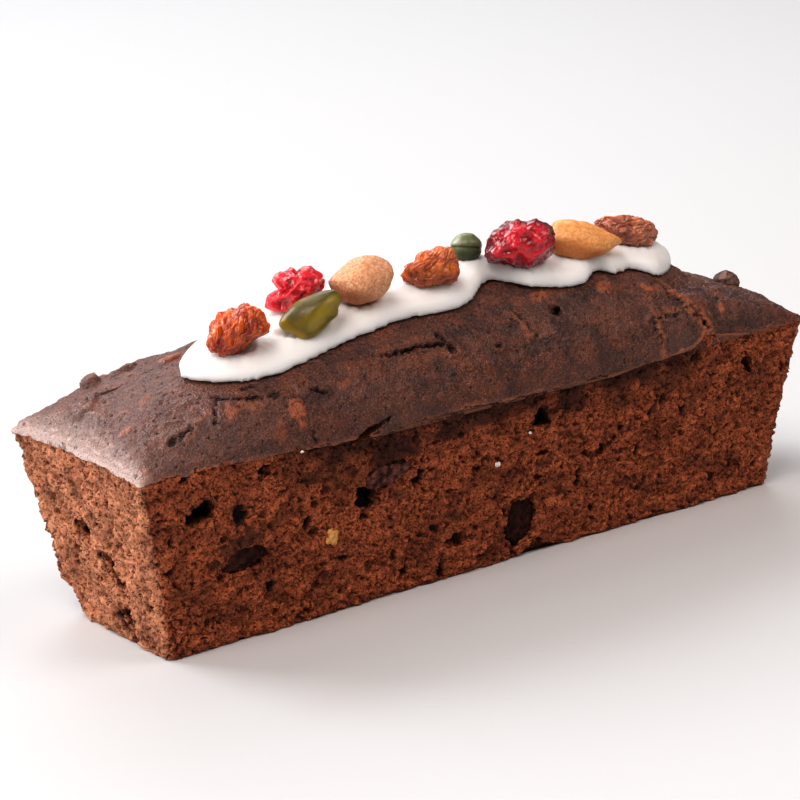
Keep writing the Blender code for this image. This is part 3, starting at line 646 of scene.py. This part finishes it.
x, y, z = places.T
lifted = ovals(x, y, LIFTED, 0.15 * wobble)
torn, bits = ovals(x, y, TORN, wobble), ovals(x, y, BITS, 0.6 * wobble)
ashen = ovals(x, y, ASHEN, wobble)
over_seam = above_seam(places)
side = smooth((0.9 * MM - over_seam) / (0.9 * MM))
side *= np.clip(0.75 + 1.2 * ripple(places, 4 * MM, 16), 0, 1)
iced = smooth(1.6 - gap_to_solids(places, ["icing"]) / (1.5 * MM))
# A painted sheen, paler towards the left end of the crust.
bloom = smooth((-52 * MM - x) / (44 * MM))
charred = 0.6 * smooth((ripple(places, 6 * MM, 18, 3) - 0.12) / 0.3) * (1 - bloom)
charred = np.maximum(charred, ovals(x, y, CHARRED, 1.5 * wobble))
# Towards its left end the crust swells out a little, and near the end it is painted a pale
# highlight.
rim = np.clip((-x - 90 * MM) / (10 * MM), 0, 1) ** 3
lumps = 0.36 * ripple(places, 9 * MM, 11) + 0.34 * ripple(places, 3.2 * MM, 12, 2)
lumps += 0.2 * ripple(places, MM, 13, 2)
rough_tear = 0.5 * ripple(places, 1.3 * MM, 14, 2) * torn
out = lumps * (1 - iced) + rough_tear + 0.25 * lips * (1 - cracked) + 0.35 * bits * (1 - cracked)
out = np.minimum((out - 0.25) * MM, 0.15 * MM) + 0.9 * MM * rim + lifted * MM * (1 - iced)
out = out - sunk - pits * (1 - iced)
moved = places + normals * (out * (normals[:, 2] > -0.7))[:, None]
keep_inside(moved)
ragged = 0.5 * MM * ripple(places, 2.2 * MM, 19, 2)
moved[:, 2] += ragged * np.exp(-((over_seam / (1.2 * MM)) ** 2))
store_moves(crust, moved - places)
# crack is painted shade, nearly black in the cracks and pits.
paint(
    crust, crack=np.maximum(cracked, np.clip(pits / (0.5 * MM), 0, 1)), torn=torn, bits=bits,
    ashen=ashen, edge=side, bloom=bloom, rim=rim**2, charred=charred,
)
crust_halves = halve(
    crust, "cake_crust_near", "cake_crust_far", point=(0, 3 * MM, 0), way=(0, 1, 0), share=0.6
)

# Oven-dried skin: satin rather than matt, brown and mottled with ash-grey, with orange
# flecks. It pales to crumb where it is torn and to orange over bits of nut. A painted sheen
# pales its left end and a painted highlight its left rim, its beads are painted pale as
# glints, and painted shade makes its cracks and pits nearly black. Its grains are drawn
# 0.65 mm apart and the beads on them 0.7 mm, as real ones are.
baked = new_material(
    "baked_crust", IOR=1.45, Specular_IOR_Level=0.5, Sheen_Weight=0.12, Sheen_Roughness=0.35,
    Sheen_Tint=linear("F4DED6"),
)
fine, flecks, mottle = (
    add(baked, "TexNoise", Scale=1 / (size * MM), Detail=detail, Roughness=rough)
    for size, detail, rough in ((0.65, 2, 0.7), (1.5, 3, 0.7), (5, 4, 0.6))
)
cells = add(baked, "TexVoronoi", Scale=1 / (0.7 * MM))
# The beads are painted pale pink-grey, as glints, and also give the crust its finest bumps.
light, dark, glint_beads, orange = (
    add(baked, "MapRange", Value=pattern, From_Min=low, From_Max=high)
    for pattern, low, high in (
        (mottle, 0.42, 0.62), (fine, 0.62, 0.38), (cells, 0.5, 0.1), (flecks, 0.55, 0.75),
    )
)
# Of these tones, the pale ones over the left end and its rim are a painted sheen and a painted
# highlight, the beads' tone is painted glints, and the crack tone is painted shade.
colour = lay_tones(
    baked, "583226", (light, 1, "7C462F"), (dark, 0.7, "3A1C14"), (glint_beads, 0.32, "B08070"),
    (orange, 0.35, "935236"), ("ashen", 0.4, "5E4640"), ("charred", 0.75, "2A1C1A"),
    ("torn", 0.65, "A0603E"), ("edge", 0.5, "A4684A"), ("bits", 0.6, "B8663E"),
    ("bloom", 0.2, "98807B"), ("rim", 0.7, "E4CCC4"), ("crack", 0.95, "120A08"),
)
gloss = add(
    baked, "MapRange", Value=mottle, From_Min=0.35, From_Max=0.65, To_Min=0.46, To_Max=0.3
)
normal = add(baked, "Bump", Height=mottle, Distance=0.8 * MM, Strength=0.5)
for height, distance, strength in ((flecks, 0.5, 0.7), (glint_beads, 0.2, 1)):
    normal = add(
        baked, "Bump", Height=height, Distance=distance * MM, Strength=strength, Normal=normal
    )
for half in crust_halves:
    finish(half, baked, "cake", "cake", Base_Color=colour, Roughness=gloss, Normal=normal)

# --- Icing ---
# Sugar icing poured in a strip along the crest. It set white and satin, with thick
# round edges, and climbed a little up whatever was pressed into it.

ICING_GRID = 0.48 * MM
CLIMB, CLIMB_WIDTH = 1.1 * MM, 2 * MM
PRESSED_IN = ("raisin_1", "cranberry_1", "pistachio_long", "hazelnut", "raisin_2")
PRESSED_IN += ("pistachio_round", "cranberry_2", "almond", "raisin_3")
icing = copy_solid("icing_poured", "icing")
regrid(icing, ICING_GRID)
apply_modifier(icing, "SMOOTH", factor=0.5, iterations=20)
places, normals = read(icing, "co"), read(icing, "normal")
climb = CLIMB * np.exp(-((gap_to_solids(places, PRESSED_IN) / CLIMB_WIDTH) ** 2))
upper, under = smooth(normals[:, 2] / 0.6), smooth(-normals[:, 2] / 0.6)
places[:, 2] += upper * (climb + 0.12 * MM * ripple(places, 7 * MM, 41))
places[:, 2] -= 0.45 * MM * under
place_vertices(icing, places)

# Set sugar icing: opaque, soft white, faintly translucent at its edges.
sugar = new_material(
    "sugar_icing", Base_Color=linear("EAEAE8"), IOR=1.45, Specular_IOR_Level=0.4,
    Subsurface_Weight=0.8, Subsurface_Radius=(1, 0.85, 0.7), Subsurface_Scale=3 * MM,
)
soft = add(sugar, "TexNoise", Scale=1 / (3 * MM))
gloss = add(sugar, "MapRange", Value=soft, To_Min=0.38, To_Max=0.55)
normal = add(sugar, "Bump", Height=soft, Distance=0.15 * MM, Strength=0.4)
finish(icing, sugar, "icing", "icing", Roughness=gloss, Normal=normal)

# --- Raisins on top ---
# Dried grapes, pressed into the icing while it was wet: amber, brown and dark. Their
# skin shrank into close folds, which shine because the sugar in it is sticky.

TOPPING_GRID = 0.2 * MM
noise.seed_set(1)  # the folds come out the same in each run
# The way that the front-left of the cake faces, where the toppings were matched: right
# and up across it.
ACROSS, UPRIGHT = np.array([0.810, -0.584, -0.054]), np.array([0.202, 0.191, 0.961])
TURNS = np.arange(25) * 15.0  # the directions in which an outline gives a distance


def folds(places, centre, along, across_size, along_size, seed, warp=0.6):
    """Folds of dried skin: 0 in their sharp creases, 1 on their round ridges."""
    along = Vector(along).normalized()
    shift = shifted(seed)
    heights = np.empty(len(places), np.float32)
    for index, place in enumerate(places.tolist()):
        offset = Vector(place) - centre
        part = offset.dot(along)
        point = (offset - part * along) / across_size + along * (part / along_size)
        point += warp * noise.noise_vector(offset / (2.4 * across_size) + shift)
        heights[index] = min(abs(noise.noise(point + shift)) / 0.3, 1)
    return heights**0.7


def topping(node, swell=0):
    """A finely divided copy of a topping's solid, with its vertices and its centre."""
    piece = copy_solid(node + "_dressed", node)
    regrid(piece, TOPPING_GRID)
    apply_modifier(piece, "SMOOTH", factor=0.5, iterations=6)
    places, normals = read(piece, "co"), read(piece, "normal")
    low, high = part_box(node)
    return piece, places + normals * swell, normals, (low + high) / 2


def seen_from_front(places, centre):
    """How far each place is to the right of a centre and above it, from the front-left."""
    offsets = places - np.array(centre)
    return offsets @ ACROSS, offsets @ UPRIGHT


def turn_and_reach(right, up):
    """Each place's direction in degrees, from the right upwards, and its distance."""
    return np.degrees(np.arctan2(up, right)) % 360, np.hypot(right, up)


def shape(piece, places, normals, relief, centre, outline, rounds=0):
    """Gives a topping its relief in mm and its real outline, under the highest solid.

    The outline is a distance in mm from the centre for each 15 degrees, starting at the
    right and going up. Then the topping is smoothed for a number of rounds.
    """
    places = places + normals * (relief * MM)[:, None]
    for _ in range(2):
        right, up = seen_from_front(places, centre)
        turn, reach = turn_and_reach(right, up)
        now = [reach[np.abs((turn - step + 180) % 360 - 180) < 6].max() for step in TURNS[:-1]]
        grow = np.array(outline) * MM / now
        grow = np.interp(turn, TURNS, np.append(grow, grow[0])) - 1
        places = places + (grow * right)[:, None] * ACROSS + (grow * up)[:, None] * UPRIGHT
    place_vertices(piece, places)
    if rounds:
        apply_modifier(piece, "SMOOTH", factor=0.5, iterations=rounds)
        places = read(piece, "co")
    places[:, 2] = np.minimum(places[:, 2], cad_box[1][2])
    place_vertices(piece, places)
    return places


# Raisins: node, direction of the folds, their depth, slot, light and dark tones, outline.
RAISINS = (
    ("raisin_1", (0.25, 0.1, 1), 0.55, "raisin_amber", "D86A12", "8C2408", (
        7.6, 7.9, 7.7, 7.7, 7.2, 7.1, 6.2, 5.8, 5.7, 6.2, 6.2, 6.4,
        6.8, 7.2, 7.7, 7.4, 6.8, 5.9, 5.2, 4.7, 4.4, 4, 4.4, 5.6,
    )),
    ("raisin_2", (1, -0.2, 0.75), 0.6, "raisin_brown", "DC8038", "92401C", (
        6.4, 6.3, 6.3, 6.6, 6, 5.4, 4.7, 4.3, 4.4, 4.8, 5, 5.4,
        7.1, 8.2, 7.9, 7.1, 6.1, 5.5, 5.2, 5.1, 5.2, 5.9, 6.8, 6.7,
    )),
    ("raisin_3", (1, -0.15, 0.3), 0.6, "raisin_dark", "D08C68", "8A4A34", (
        8, 7.5, 6.7, 5.4, 4.6, 4.4, 4.4, 4.5, 5, 5.7, 7.9, 9.1,
        7.4, 6.2, 5, 4.4, 4.2, 4.2, 4.3, 4.6, 5.2, 5.8, 7.4, 7.8,
    )),
)
for seed, (node, along, fold, slot, light_tone, dark_tone, outline) in enumerate(RAISINS):
    raisin, places, normals, centre = topping(node)
    wide = folds(places, centre, along, 1.3 * MM, 7 * MM, 50 + seed, 0.35)
    narrow = folds(places, centre, along, 0.7 * MM, 4 * MM, 60 + seed, 0.35)
    lumps = ripple(places, 4 * MM, 70 + seed, 2)
    relief = fold * (wide - 0.8) + 0.5 * fold * (narrow - 0.7) + 0.8 * lumps
    places = shape(raisin, places, normals, relief, centre, outline)
    up = seen_from_front(places, centre)[1]
    # Painted shade: crease darkens the creases of the folds, and low the lower side seen from the
    # front.
    crease = np.clip(1.1 * (1 - wide) + 0.5 * (1 - narrow), 0, 1)
    paint(raisin, crease=crease, low=smooth((-MM - up) / (4 * MM)))

    # Grape skin, dried: clear amber to brown, light passes a few millimetres into it.
    # Painted shade darkens its creases and its lower side.
    grape = new_material(
        "dried_grape_" + slot, IOR=1.47, Roughness=0.3, Specular_IOR_Level=0.15,
        Subsurface_Weight=0.75, Subsurface_Radius=(1, 0.35, 0.12), Subsurface_Scale=3 * MM,
        Coat_Weight=1, Coat_Roughness=0.06,
    )
    cloud = add(grape, "TexNoise", Scale=1 / (3.5 * MM), Detail=3)
    cloud = add(grape, "MapRange", Value=cloud, From_Min=0.35, From_Max=0.65)
    colour = lay_tones(
        grape, dark_tone, (cloud, 1, light_tone), ("crease", 0.5, dark_tone),
        ("low", 0.6, dark_tone),
    )
    fine = add(grape, "TexNoise", Scale=1 / (0.7 * MM))
    normal = add(grape, "Bump", Height=fine, Distance=0.3 * MM, Strength=0.8)
    finish(raisin, grape, slot, node, Base_Color=colour, Normal=normal)

# --- Cranberries ---
# Sweetened dried cranberries, crumpled and glassy. Light goes right through their thin
# folds, which are bright red, pink where it leaves them and white where they glint.

# Cranberries: node, slot, clear and deep tones, depth of the folds, share of the painted
# shade at the rim, outline.
CRANBERRIES = (
    ("cranberry_1", "cranberry", "FA4050", "960A18", 1.2, 0.15, (
        6.5, 7, 7.1, 6.7, 6.6, 5.8, 4.7, 5.5, 5.2, 6, 6.5, 6.3,
        5.3, 7.9, 8.8, 7.9, 6.8, 6.2, 5.7, 5.4, 5.2, 5.2, 5.2, 5.7,
    )),
    ("cranberry_2", "cranberry_dark", "DC2438", "6E0616", 0.65, 0.75, (
        8.6, 8.8, 9, 8.1, 7.3, 6.1, 5.8, 6.1, 6.8, 6.8, 7.7, 8.4,
        8.9, 9.7, 9.7, 7.7, 6.8, 6.3, 6.2, 6.6, 6.8, 7, 7.7, 8.5,
    )),
)


def crumple(places, size, seed):
    """Facets with sharp edges between, as in a crumpled skin: 1 on the edges, 0 between."""
    shift = shifted(seed)
    edges = np.empty(len(places), np.float32)
    for index, place in enumerate(places.tolist()):
        point = Vector(place) / size + shift
        point += 0.35 * noise.noise_vector(point * 1.3)
        nearest = noise.voronoi(point)[0]
        edges[index] = 1 - min((nearest[1] - nearest[0]) / 0.55, 1)
    return edges


for seed, (node, slot, clear_tone, deep_tone, depth, rim_share, outline) in enumerate(CRANBERRIES):
    cranberry, places, normals, centre = topping(node)
    wide, narrow = crumple(places, 5 * MM, 80 + seed), crumple(places, 2 * MM, 90 + seed)
    relief = depth * (wide - 0.7) + 0.3 * depth * (narrow - 0.6)
    relief += 0.5 * ripple(places, 3.5 * MM, 95 + seed)
    places = shape(cranberry, places, normals, relief, centre, outline, rounds=5)
    turn, reach = turn_and_reach(*seen_from_front(places, centre))
    whole = np.interp(turn, TURNS, outline + outline[:1]) * MM
    # Painted shade: the deep tone lies in the creases between the ridges, and rim darkens it
    # towards the outline seen from the front.
    ridge = np.clip(0.6 * wide + 0.4 * narrow, 0, 1)
    paint(cranberry, ridge=ridge, rim=smooth((reach / whole - 0.62) / 0.35))

    # Sugared cranberry skin: clear red, wet-looking, with painted shade in its creases and at
    # its rim.
    red_skin = new_material(
        "sugared_" + slot, IOR=1.47, Roughness=0.22, Specular_IOR_Level=0.2,
        Subsurface_Weight=0.4, Subsurface_Radius=(1, 0.12, 0.12), Subsurface_Scale=4 * MM,
        Coat_Weight=1, Coat_Roughness=0.08,
    )
    colour = lay_tones(
        red_skin, deep_tone, ("ridge", 1, clear_tone), ("rim", rim_share, "3C0A18")
    )
    fine = add(red_skin, "TexNoise", Scale=1 / (0.9 * MM))
    normal = add(red_skin, "Bump", Height=fine, Distance=0.55 * MM)
    finish(cranberry, red_skin, slot, node, Base_Color=colour, Normal=normal)

# --- Pistachios ---
# Peeled pistachio kernels, whole: one lies on its side with its yellow tip forward, the
# other shows its blunt dark-green end. Smooth, satin, with a shallow seam.

# Pistachios: node, slot, green, shade and tip tones, outline. On the round kernel the shade
# tone is painted shade and the tip tone a painted reflection.
PISTACHIOS = (
    ("pistachio_long", "pistachio", "7E6A10", "4A420A", "A08210", (
        7, 7.6, 8.9, 8.9, 7.3, 5.9, 5, 4.5, 4.4, 4.5, 4.8, 5.4,
        6.5, 7.5, 7, 6.3, 5.9, 5.9, 5.7, 5.3, 4.9, 4.8, 5, 5.7,
    )),
    ("pistachio_round", "pistachio_dark", "6E7450", "1E2C10", "A8A890", (
        4.3, 4.3, 4.2, 4, 4, 3.8, 3.7, 3.6, 3.6, 3.6, 3.6, 3.7,
        3.8, 3.8, 3.8, 3.9, 4, 4.1, 4.1, 4.1, 4.1, 4.1, 4.2, 4.3,
    )),
)
# Soft bands on the long kernel, for its shade, tip and pale side: how full, how wide,
# and the points that each runs through, right and up from the centre.
BANDS = (
    (1.3, 2, ((5, 5.2), (2.5, 3.8), (-3.2, 0.4))),
    (1.2, 1.5, ((-6.4, -1.8), (-3.6, -4.4), (-1.6, -5.2))),
    (1.3, 1.7, ((6, 3.4), (3.6, 0.6), (1.2, -3))),
)
for seed, (node, slot, green, shade, tip, outline) in enumerate(PISTACHIOS):
    kernel, places, normals, centre = topping(node)
    relief = 0.25 * ripple(places, 5 * MM, 100 + seed)
    relief += 0.06 * ripple(places, 1.8 * MM, 104 + seed)
    right, up = seen_from_front(places, centre)
    seam = np.zeros(len(places), np.float32)
    if node == "pistachio_round":
        seam = np.exp(-(((up / MM + 0.05 * right / MM) / 0.28) ** 2))
    places = shape(kernel, places, normals, relief - 0.4 * seam, centre, outline, rounds=30)
    right, up = seen_from_front(places, centre)
    if node == "pistachio_long":
        seen = np.stack([right, up], 1)
        low, at_tip, pale = (
            smooth(full - along_line(seen, [(a * MM, b * MM) for a, b in line]) / (wide * MM))
            for full, wide, line in BANDS
        )
    else:
        # The round kernel: painted shade on the lower half, and a painted reflection at the upper
        # left.
        low = smooth((0.2 * MM - up) / (2.4 * MM))
        at_tip = smooth((-0.6 * MM - right) / (1.2 * MM)) * smooth((up - 0.3 * MM) / (0.8 * MM))
        pale = 0 * low
    paint(kernel, seam=seam, low=low, tip=at_tip, pale=pale)

    # Pistachio flesh: waxy olive green, darker along its back, yellow at the tip. On the round
    # kernel, painted shade darkens the lower half and a painted reflection whitens the upper left.
    waxy = new_material(
        "pistachio_kernel_" + slot, IOR=1.47, Roughness=0.36, Subsurface_Weight=0.2,
        Subsurface_Radius=(0.8, 1, 0.3), Subsurface_Scale=MM, Coat_Weight=0.05,
        Coat_Roughness=0.25,
    )
    cloud = add(waxy, "TexNoise", Scale=1 / (4 * MM), Detail=3)
    cloud = add(waxy, "MapRange", Value=cloud, From_Min=0.4, From_Max=0.65)
    colour = lay_tones(
        waxy, green, (cloud, 0.35, shade), ("low", 0.8, shade), ("pale", 0.6, "A08C30"),
        ("tip", 0.8, tip), ("seam", 0.9, "0E1206"),
    )
    fine = add(waxy, "TexNoise", Scale=1 / (0.9 * MM))
    normal = add(waxy, "Bump", Height=fine, Distance=0.1 * MM, Strength=0.5)
    finish(kernel, waxy, slot, node, Base_Color=colour, Normal=normal)

# --- Hazelnut ---
# A hazelnut kernel, roasted and rubbed free of its brown skin: matt, with fine specks.

HAZELNUT_OUTLINE = (
    7.3, 7.9, 8, 7.7, 7.2, 6.6, 6.2, 5.9, 5.8, 5.8, 6.2, 7,
    8, 7.6, 7.2, 6.8, 6.2, 5.9, 5.6, 5.3, 5.5, 5.9, 6.3, 6.8,
)
hazelnut, places, normals, centre = topping("hazelnut")
relief = 0.3 * ripple(places, 5 * MM, 110) + 0.1 * ripple(places, 1.2 * MM, 111, 2)
places = shape(hazelnut, places, normals, relief, centre, HAZELNUT_OUTLINE)
right, up = seen_from_front(places, centre)
# Painted shade: low darkens the nut towards its lower left, seen from the front.
paint(hazelnut, low=smooth((-1.6 * MM - up - 0.35 * right) / (3.5 * MM)))

# Roasted nut: matt and tan, mottled light and dark by its roasting, with painted shade
# underneath.
roast = new_material(
    "roasted_hazelnut", IOR=1.45, Roughness=0.62, Subsurface_Weight=0.1, Subsurface_Scale=MM
)
fine = add(roast, "TexNoise", Scale=1 / (0.6 * MM), Detail=3, Roughness=0.7)
cloud = add(roast, "TexNoise", Scale=1 / (5 * MM))
specks = add(roast, "MapRange", Value=fine, From_Min=0.38, From_Max=0.62)
cloud = add(roast, "MapRange", Value=cloud, From_Min=0.45, From_Max=0.7)
colour = lay_tones(
    roast, "C88A62", (specks, 1, "F0BE98"), (cloud, 0.5, "B87848"), ("low", 0.75, "A0552E")
)
normal = add(roast, "Bump", Height=fine, Distance=0.35 * MM)
finish(hazelnut, roast, "hazelnut", "hazelnut", Base_Color=colour, Normal=normal)

# --- Almond ---
# A whole almond, roasted golden, with the fine lengthwise lines of its skin.

ALMOND_TURN = math.radians(-25)
ALMOND_OUTLINE = (
    10.2, 7.4, 5.7, 4.9, 4.4, 4.3, 4.4, 4.8, 5.8, 7.1, 8.7, 8.9,
    9.1, 9.2, 8.8, 7.4, 6.5, 5.9, 5.5, 5.5, 5.8, 6.6, 7.7, 9.2,
)
almond, places, normals, centre = topping("almond")
along = (math.cos(ALMOND_TURN), math.sin(ALMOND_TURN), 0)
lines = folds(places, centre, along, 1.1 * MM, 9 * MM, 120, 0.25)
relief = 0.1 * (lines - 0.6) + 0.15 * ripple(places, 4 * MM, 121)
places = shape(almond, places, normals, relief, centre, ALMOND_OUTLINE, rounds=45)
right, up = seen_from_front(places, centre)
# Painted shade: low darkens the almond towards its lower left, seen from the front.
paint(almond, low=smooth((-0.6 * MM - up - 0.25 * right) / (3 * MM)), line=1 - lines)

# Roasted almond skin: golden and satin, with darker lines and painted shade on its underside.
golden = new_material(
    "roasted_almond", IOR=1.46, Roughness=0.45, Subsurface_Weight=0.1, Subsurface_Scale=MM
)
fine = add(golden, "TexNoise", Scale=1 / (0.7 * MM), Detail=3, Roughness=0.6)
specks = add(golden, "MapRange", Value=fine, From_Min=0.35, From_Max=0.65)
colour = lay_tones(
    golden, "DA9250", (specks, 1, "F0B87A"), ("line", 0.35, "B06C30"), ("low", 0.7, "AE5E28")
)
normal = add(golden, "Bump", Height=fine, Distance=0.12 * MM, Strength=0.6)
finish(almond, golden, "almond", "almond", Base_Color=colour, Normal=normal)

# --- Fruit baked into the loaf ---
# Dark raisins stirred into the batter. Three are cut open by the front wall, and one
# bulges up through the crust under a thin skin of it.

# Baked fruit: node, direction of its folds, their depth, how far it lies in the wall
# (0 for the one in the crust), light and dark tones.
BAKED = (
    ("wall_raisin_left", (1, 0, 0.35), 0.6, 1.2, "5A3026", "28120C"),
    ("wall_raisin_upper", (1, 0, 0.2), 0.4, 0.6, "86544C", "40221A"),
    ("wall_raisin_low", (0.2, 0, 1), 0.8, 1.7, "4A2014", "1C0A06"),
    ("crust_raisin", (1, 0.3, 0.2), 0.1, 0, "92705E", "4A2E22"),
)
for seed, (node, along, fold, recess, light_tone, dark_tone) in enumerate(BAKED):
    swell, lump, gleam = (0.45 * MM, 1.2, 0.1) if recess else (0.15 * MM, 0.4, 0.5)
    fruit, places, normals, centre = topping(node, swell)
    wide = folds(places, centre, along, 1.5 * MM, 4.5 * MM, 130 + seed)
    relief = fold * (wide - 0.8) + lump * ripple(places, 3 * MM, 140 + seed, 2) - 0.2
    places = places + normals * (relief * MM)[:, None]
    if recess:
        places[:, 1] += np.maximum(recess * MM - wall_inset(*np.abs(places).T), 0)
    place_vertices(fruit, places)
    # Painted shade: crease darkens the creases of its folds.
    paint(fruit, crease=1 - wide)

    # Raisin flesh baked moist: dark purple-brown, dull, lighter on its ridges, with painted
    # shade in its creases.
    jammy = new_material("baked_" + node, IOR=1.45, Roughness=0.6, Specular_IOR_Level=gleam)
    cloud = add(jammy, "TexNoise", Scale=1 / (1.6 * MM), Detail=3)
    tint = add(jammy, "MapRange", Value=cloud, From_Min=0.38, From_Max=0.65)
    colour = lay_tones(jammy, dark_tone, (tint, 1, light_tone), ("crease", 0.7, "160C0A"))
    fine = add(jammy, "TexNoise", Scale=1 / (0.6 * MM))
    normal = add(jammy, "Bump", Height=cloud, Distance=0.5 * MM, Strength=0.8)
    normal = add(jammy, "Bump", Height=fine, Distance=0.3 * MM, Strength=0.8, Normal=normal)
    finish(fruit, jammy, "baked_raisin", node, Base_Color=colour, Normal=normal)

# --- Nut and sugar crumbs in the wall ---
# A chip of pale nut in the batter, cut by the front wall, and three grains of sugar icing
# that fell on it. They are pressed into the crumb.

# Crumbs: name, along, height, how far in, length, thickness, tallness, slot and tone.
CRUMBS = (
    ("nut_chip", -47.9, 20.2, 0.5, 3.2, 1.6, 4.2, "hazelnut", "DCA860"),
    ("sugar_grain_1", 0, 27.3, 0, 1.5, 1.1, 1.2, "icing", "F6F0EA"),
    ("sugar_grain_2", 9.7, 33.4, 0.1, 0.8, 0.7, 0.8, "icing", "F6F0EA"),
    ("sugar_grain_3", -57.4, 43.9, 0, 0.9, 0.6, 0.6, "icing", "F6F0EA"),
)
for seed, (name, x, z, inwards, long, thick, tall, slot, tone) in enumerate(CRUMBS):
    y = -(HALF_WIDTH - TAPER * (1 - z * MM / RIM)) + (inwards + 0.15) * MM
    bpy.ops.mesh.primitive_ico_sphere_add(subdivisions=4, radius=0.5, location=(0, 0, 0))
    crumb_bit = bpy.context.object
    crumb_bit.name = name
    places, normals = read(crumb_bit, "co"), read(crumb_bit, "normal")
    places += normals * (0.28 * ripple(places, 0.5, 150 + seed, 2))[:, None]
    places = places * np.array([long, thick, tall]) * MM + np.array([x * MM, y, z * MM])
    place_vertices(crumb_bit, places)

    # Nut flesh or set sugar, dull, with darker specks.
    chip = new_material(
        "crumb_of_" + name, IOR=1.45, Roughness=0.55, Subsurface_Weight=0.2, Subsurface_Scale=MM
    )
    fine = add(chip, "TexNoise", Scale=1 / (0.8 * MM), Detail=3)
    specks = add(chip, "MapRange", Value=fine, From_Min=0.4, From_Max=0.7)
    colour = lay_tones(chip, tone, (specks, 0.45, "8A5A30"))
    normal = add(chip, "Bump", Height=fine, Distance=0.2 * MM, Strength=0.7)
    finish(crumb_bit, chip, slot, Base_Color=colour, Normal=normal)

# --- Studio ---
# A plain pale table under soft daylight: windows low on the left and behind, and white
# ceilings that throw it back. None of it belongs to the cake.

TABLE_SIZE = 6
bpy.ops.mesh.primitive_plane_add(size=TABLE_SIZE)
table = bpy.context.object
table.name = "studio_table"
white = new_material("pale_table", Base_Color=linear("CBCDCE"), Roughness=0.6)
table.data.materials.append(white)

WHITE_ROOM = 0.2
world = bpy.data.worlds.new("white_room")
world.use_nodes = True
background = world.node_tree.nodes["Background"].inputs
background["Color"].default_value = linear("FFF3EE")
background["Strength"].default_value = WHITE_ROOM
bpy.context.scene.world = world

# Windows: name, the way to it (round from +X and up, in degrees), power in watts, tint.
WINDOW_SIZE, WINDOW_AWAY = 1.3, 2.5
WINDOWS = (
    ("window_left", 180, 8, 36, "FDFDFD"),
    ("window_behind_left", 120, 35, 52, "FAFCFF"),
    ("window_behind", 60, 35, 15, "FAFCFF"),
    ("skylight_behind", 90, 60, 10, "FAFCFF"),
    ("skylight_left", 210, 60, 40, "FFF4EF"),
    ("skylight_right", 310, 50, 20, "FFF2EC"),
)
for name, azimuth, elevation, power, tone in WINDOWS:
    azimuth, elevation = math.radians(azimuth), math.radians(elevation)
    flat = math.cos(elevation)
    way = Vector((math.cos(azimuth) * flat, math.sin(azimuth) * flat, math.sin(elevation)))
    light = bpy.data.lights.new(name, "AREA")
    light.size, light.energy, light.color = WINDOW_SIZE, power, linear(tone)[:3]
    lamp = new_object(name, light)
    lamp.location = way * WINDOW_AWAY
    lamp.rotation_euler = (-way).to_track_quat("-Z", "Y").to_euler()

# The camera stands where the photograph was taken: azimuth, elevation and roll, fitted
# to the corners of the loaf, for a picture of 800 by 800 pixels.
AZIMUTH, ELEVATION, ROLL = (math.radians(angle) for angle in (-34.90, 15.81, -3.22))
CAMERA_PLACE = (-0.36795, -0.51523, 0.21778)
LENS, SENSOR = 119, 36
camera = new_object("camera", bpy.data.cameras.new("camera"))
camera.data.lens, camera.data.sensor_width = LENS, SENSOR
camera.data.clip_start, camera.data.clip_end = 0.01, 20
turn = Euler((math.pi / 2 - ELEVATION, 0, AZIMUTH)).to_matrix() @ Matrix.Rotation(ROLL, 3, "Z")
camera.matrix_world = Matrix.Translation(CAMERA_PLACE) @ turn.to_4x4()
bpy.context.scene.camera = camera
bpy.context.scene.view_settings.view_transform = "Standard"
bpy.context.scene.view_settings.gamma = 0.82
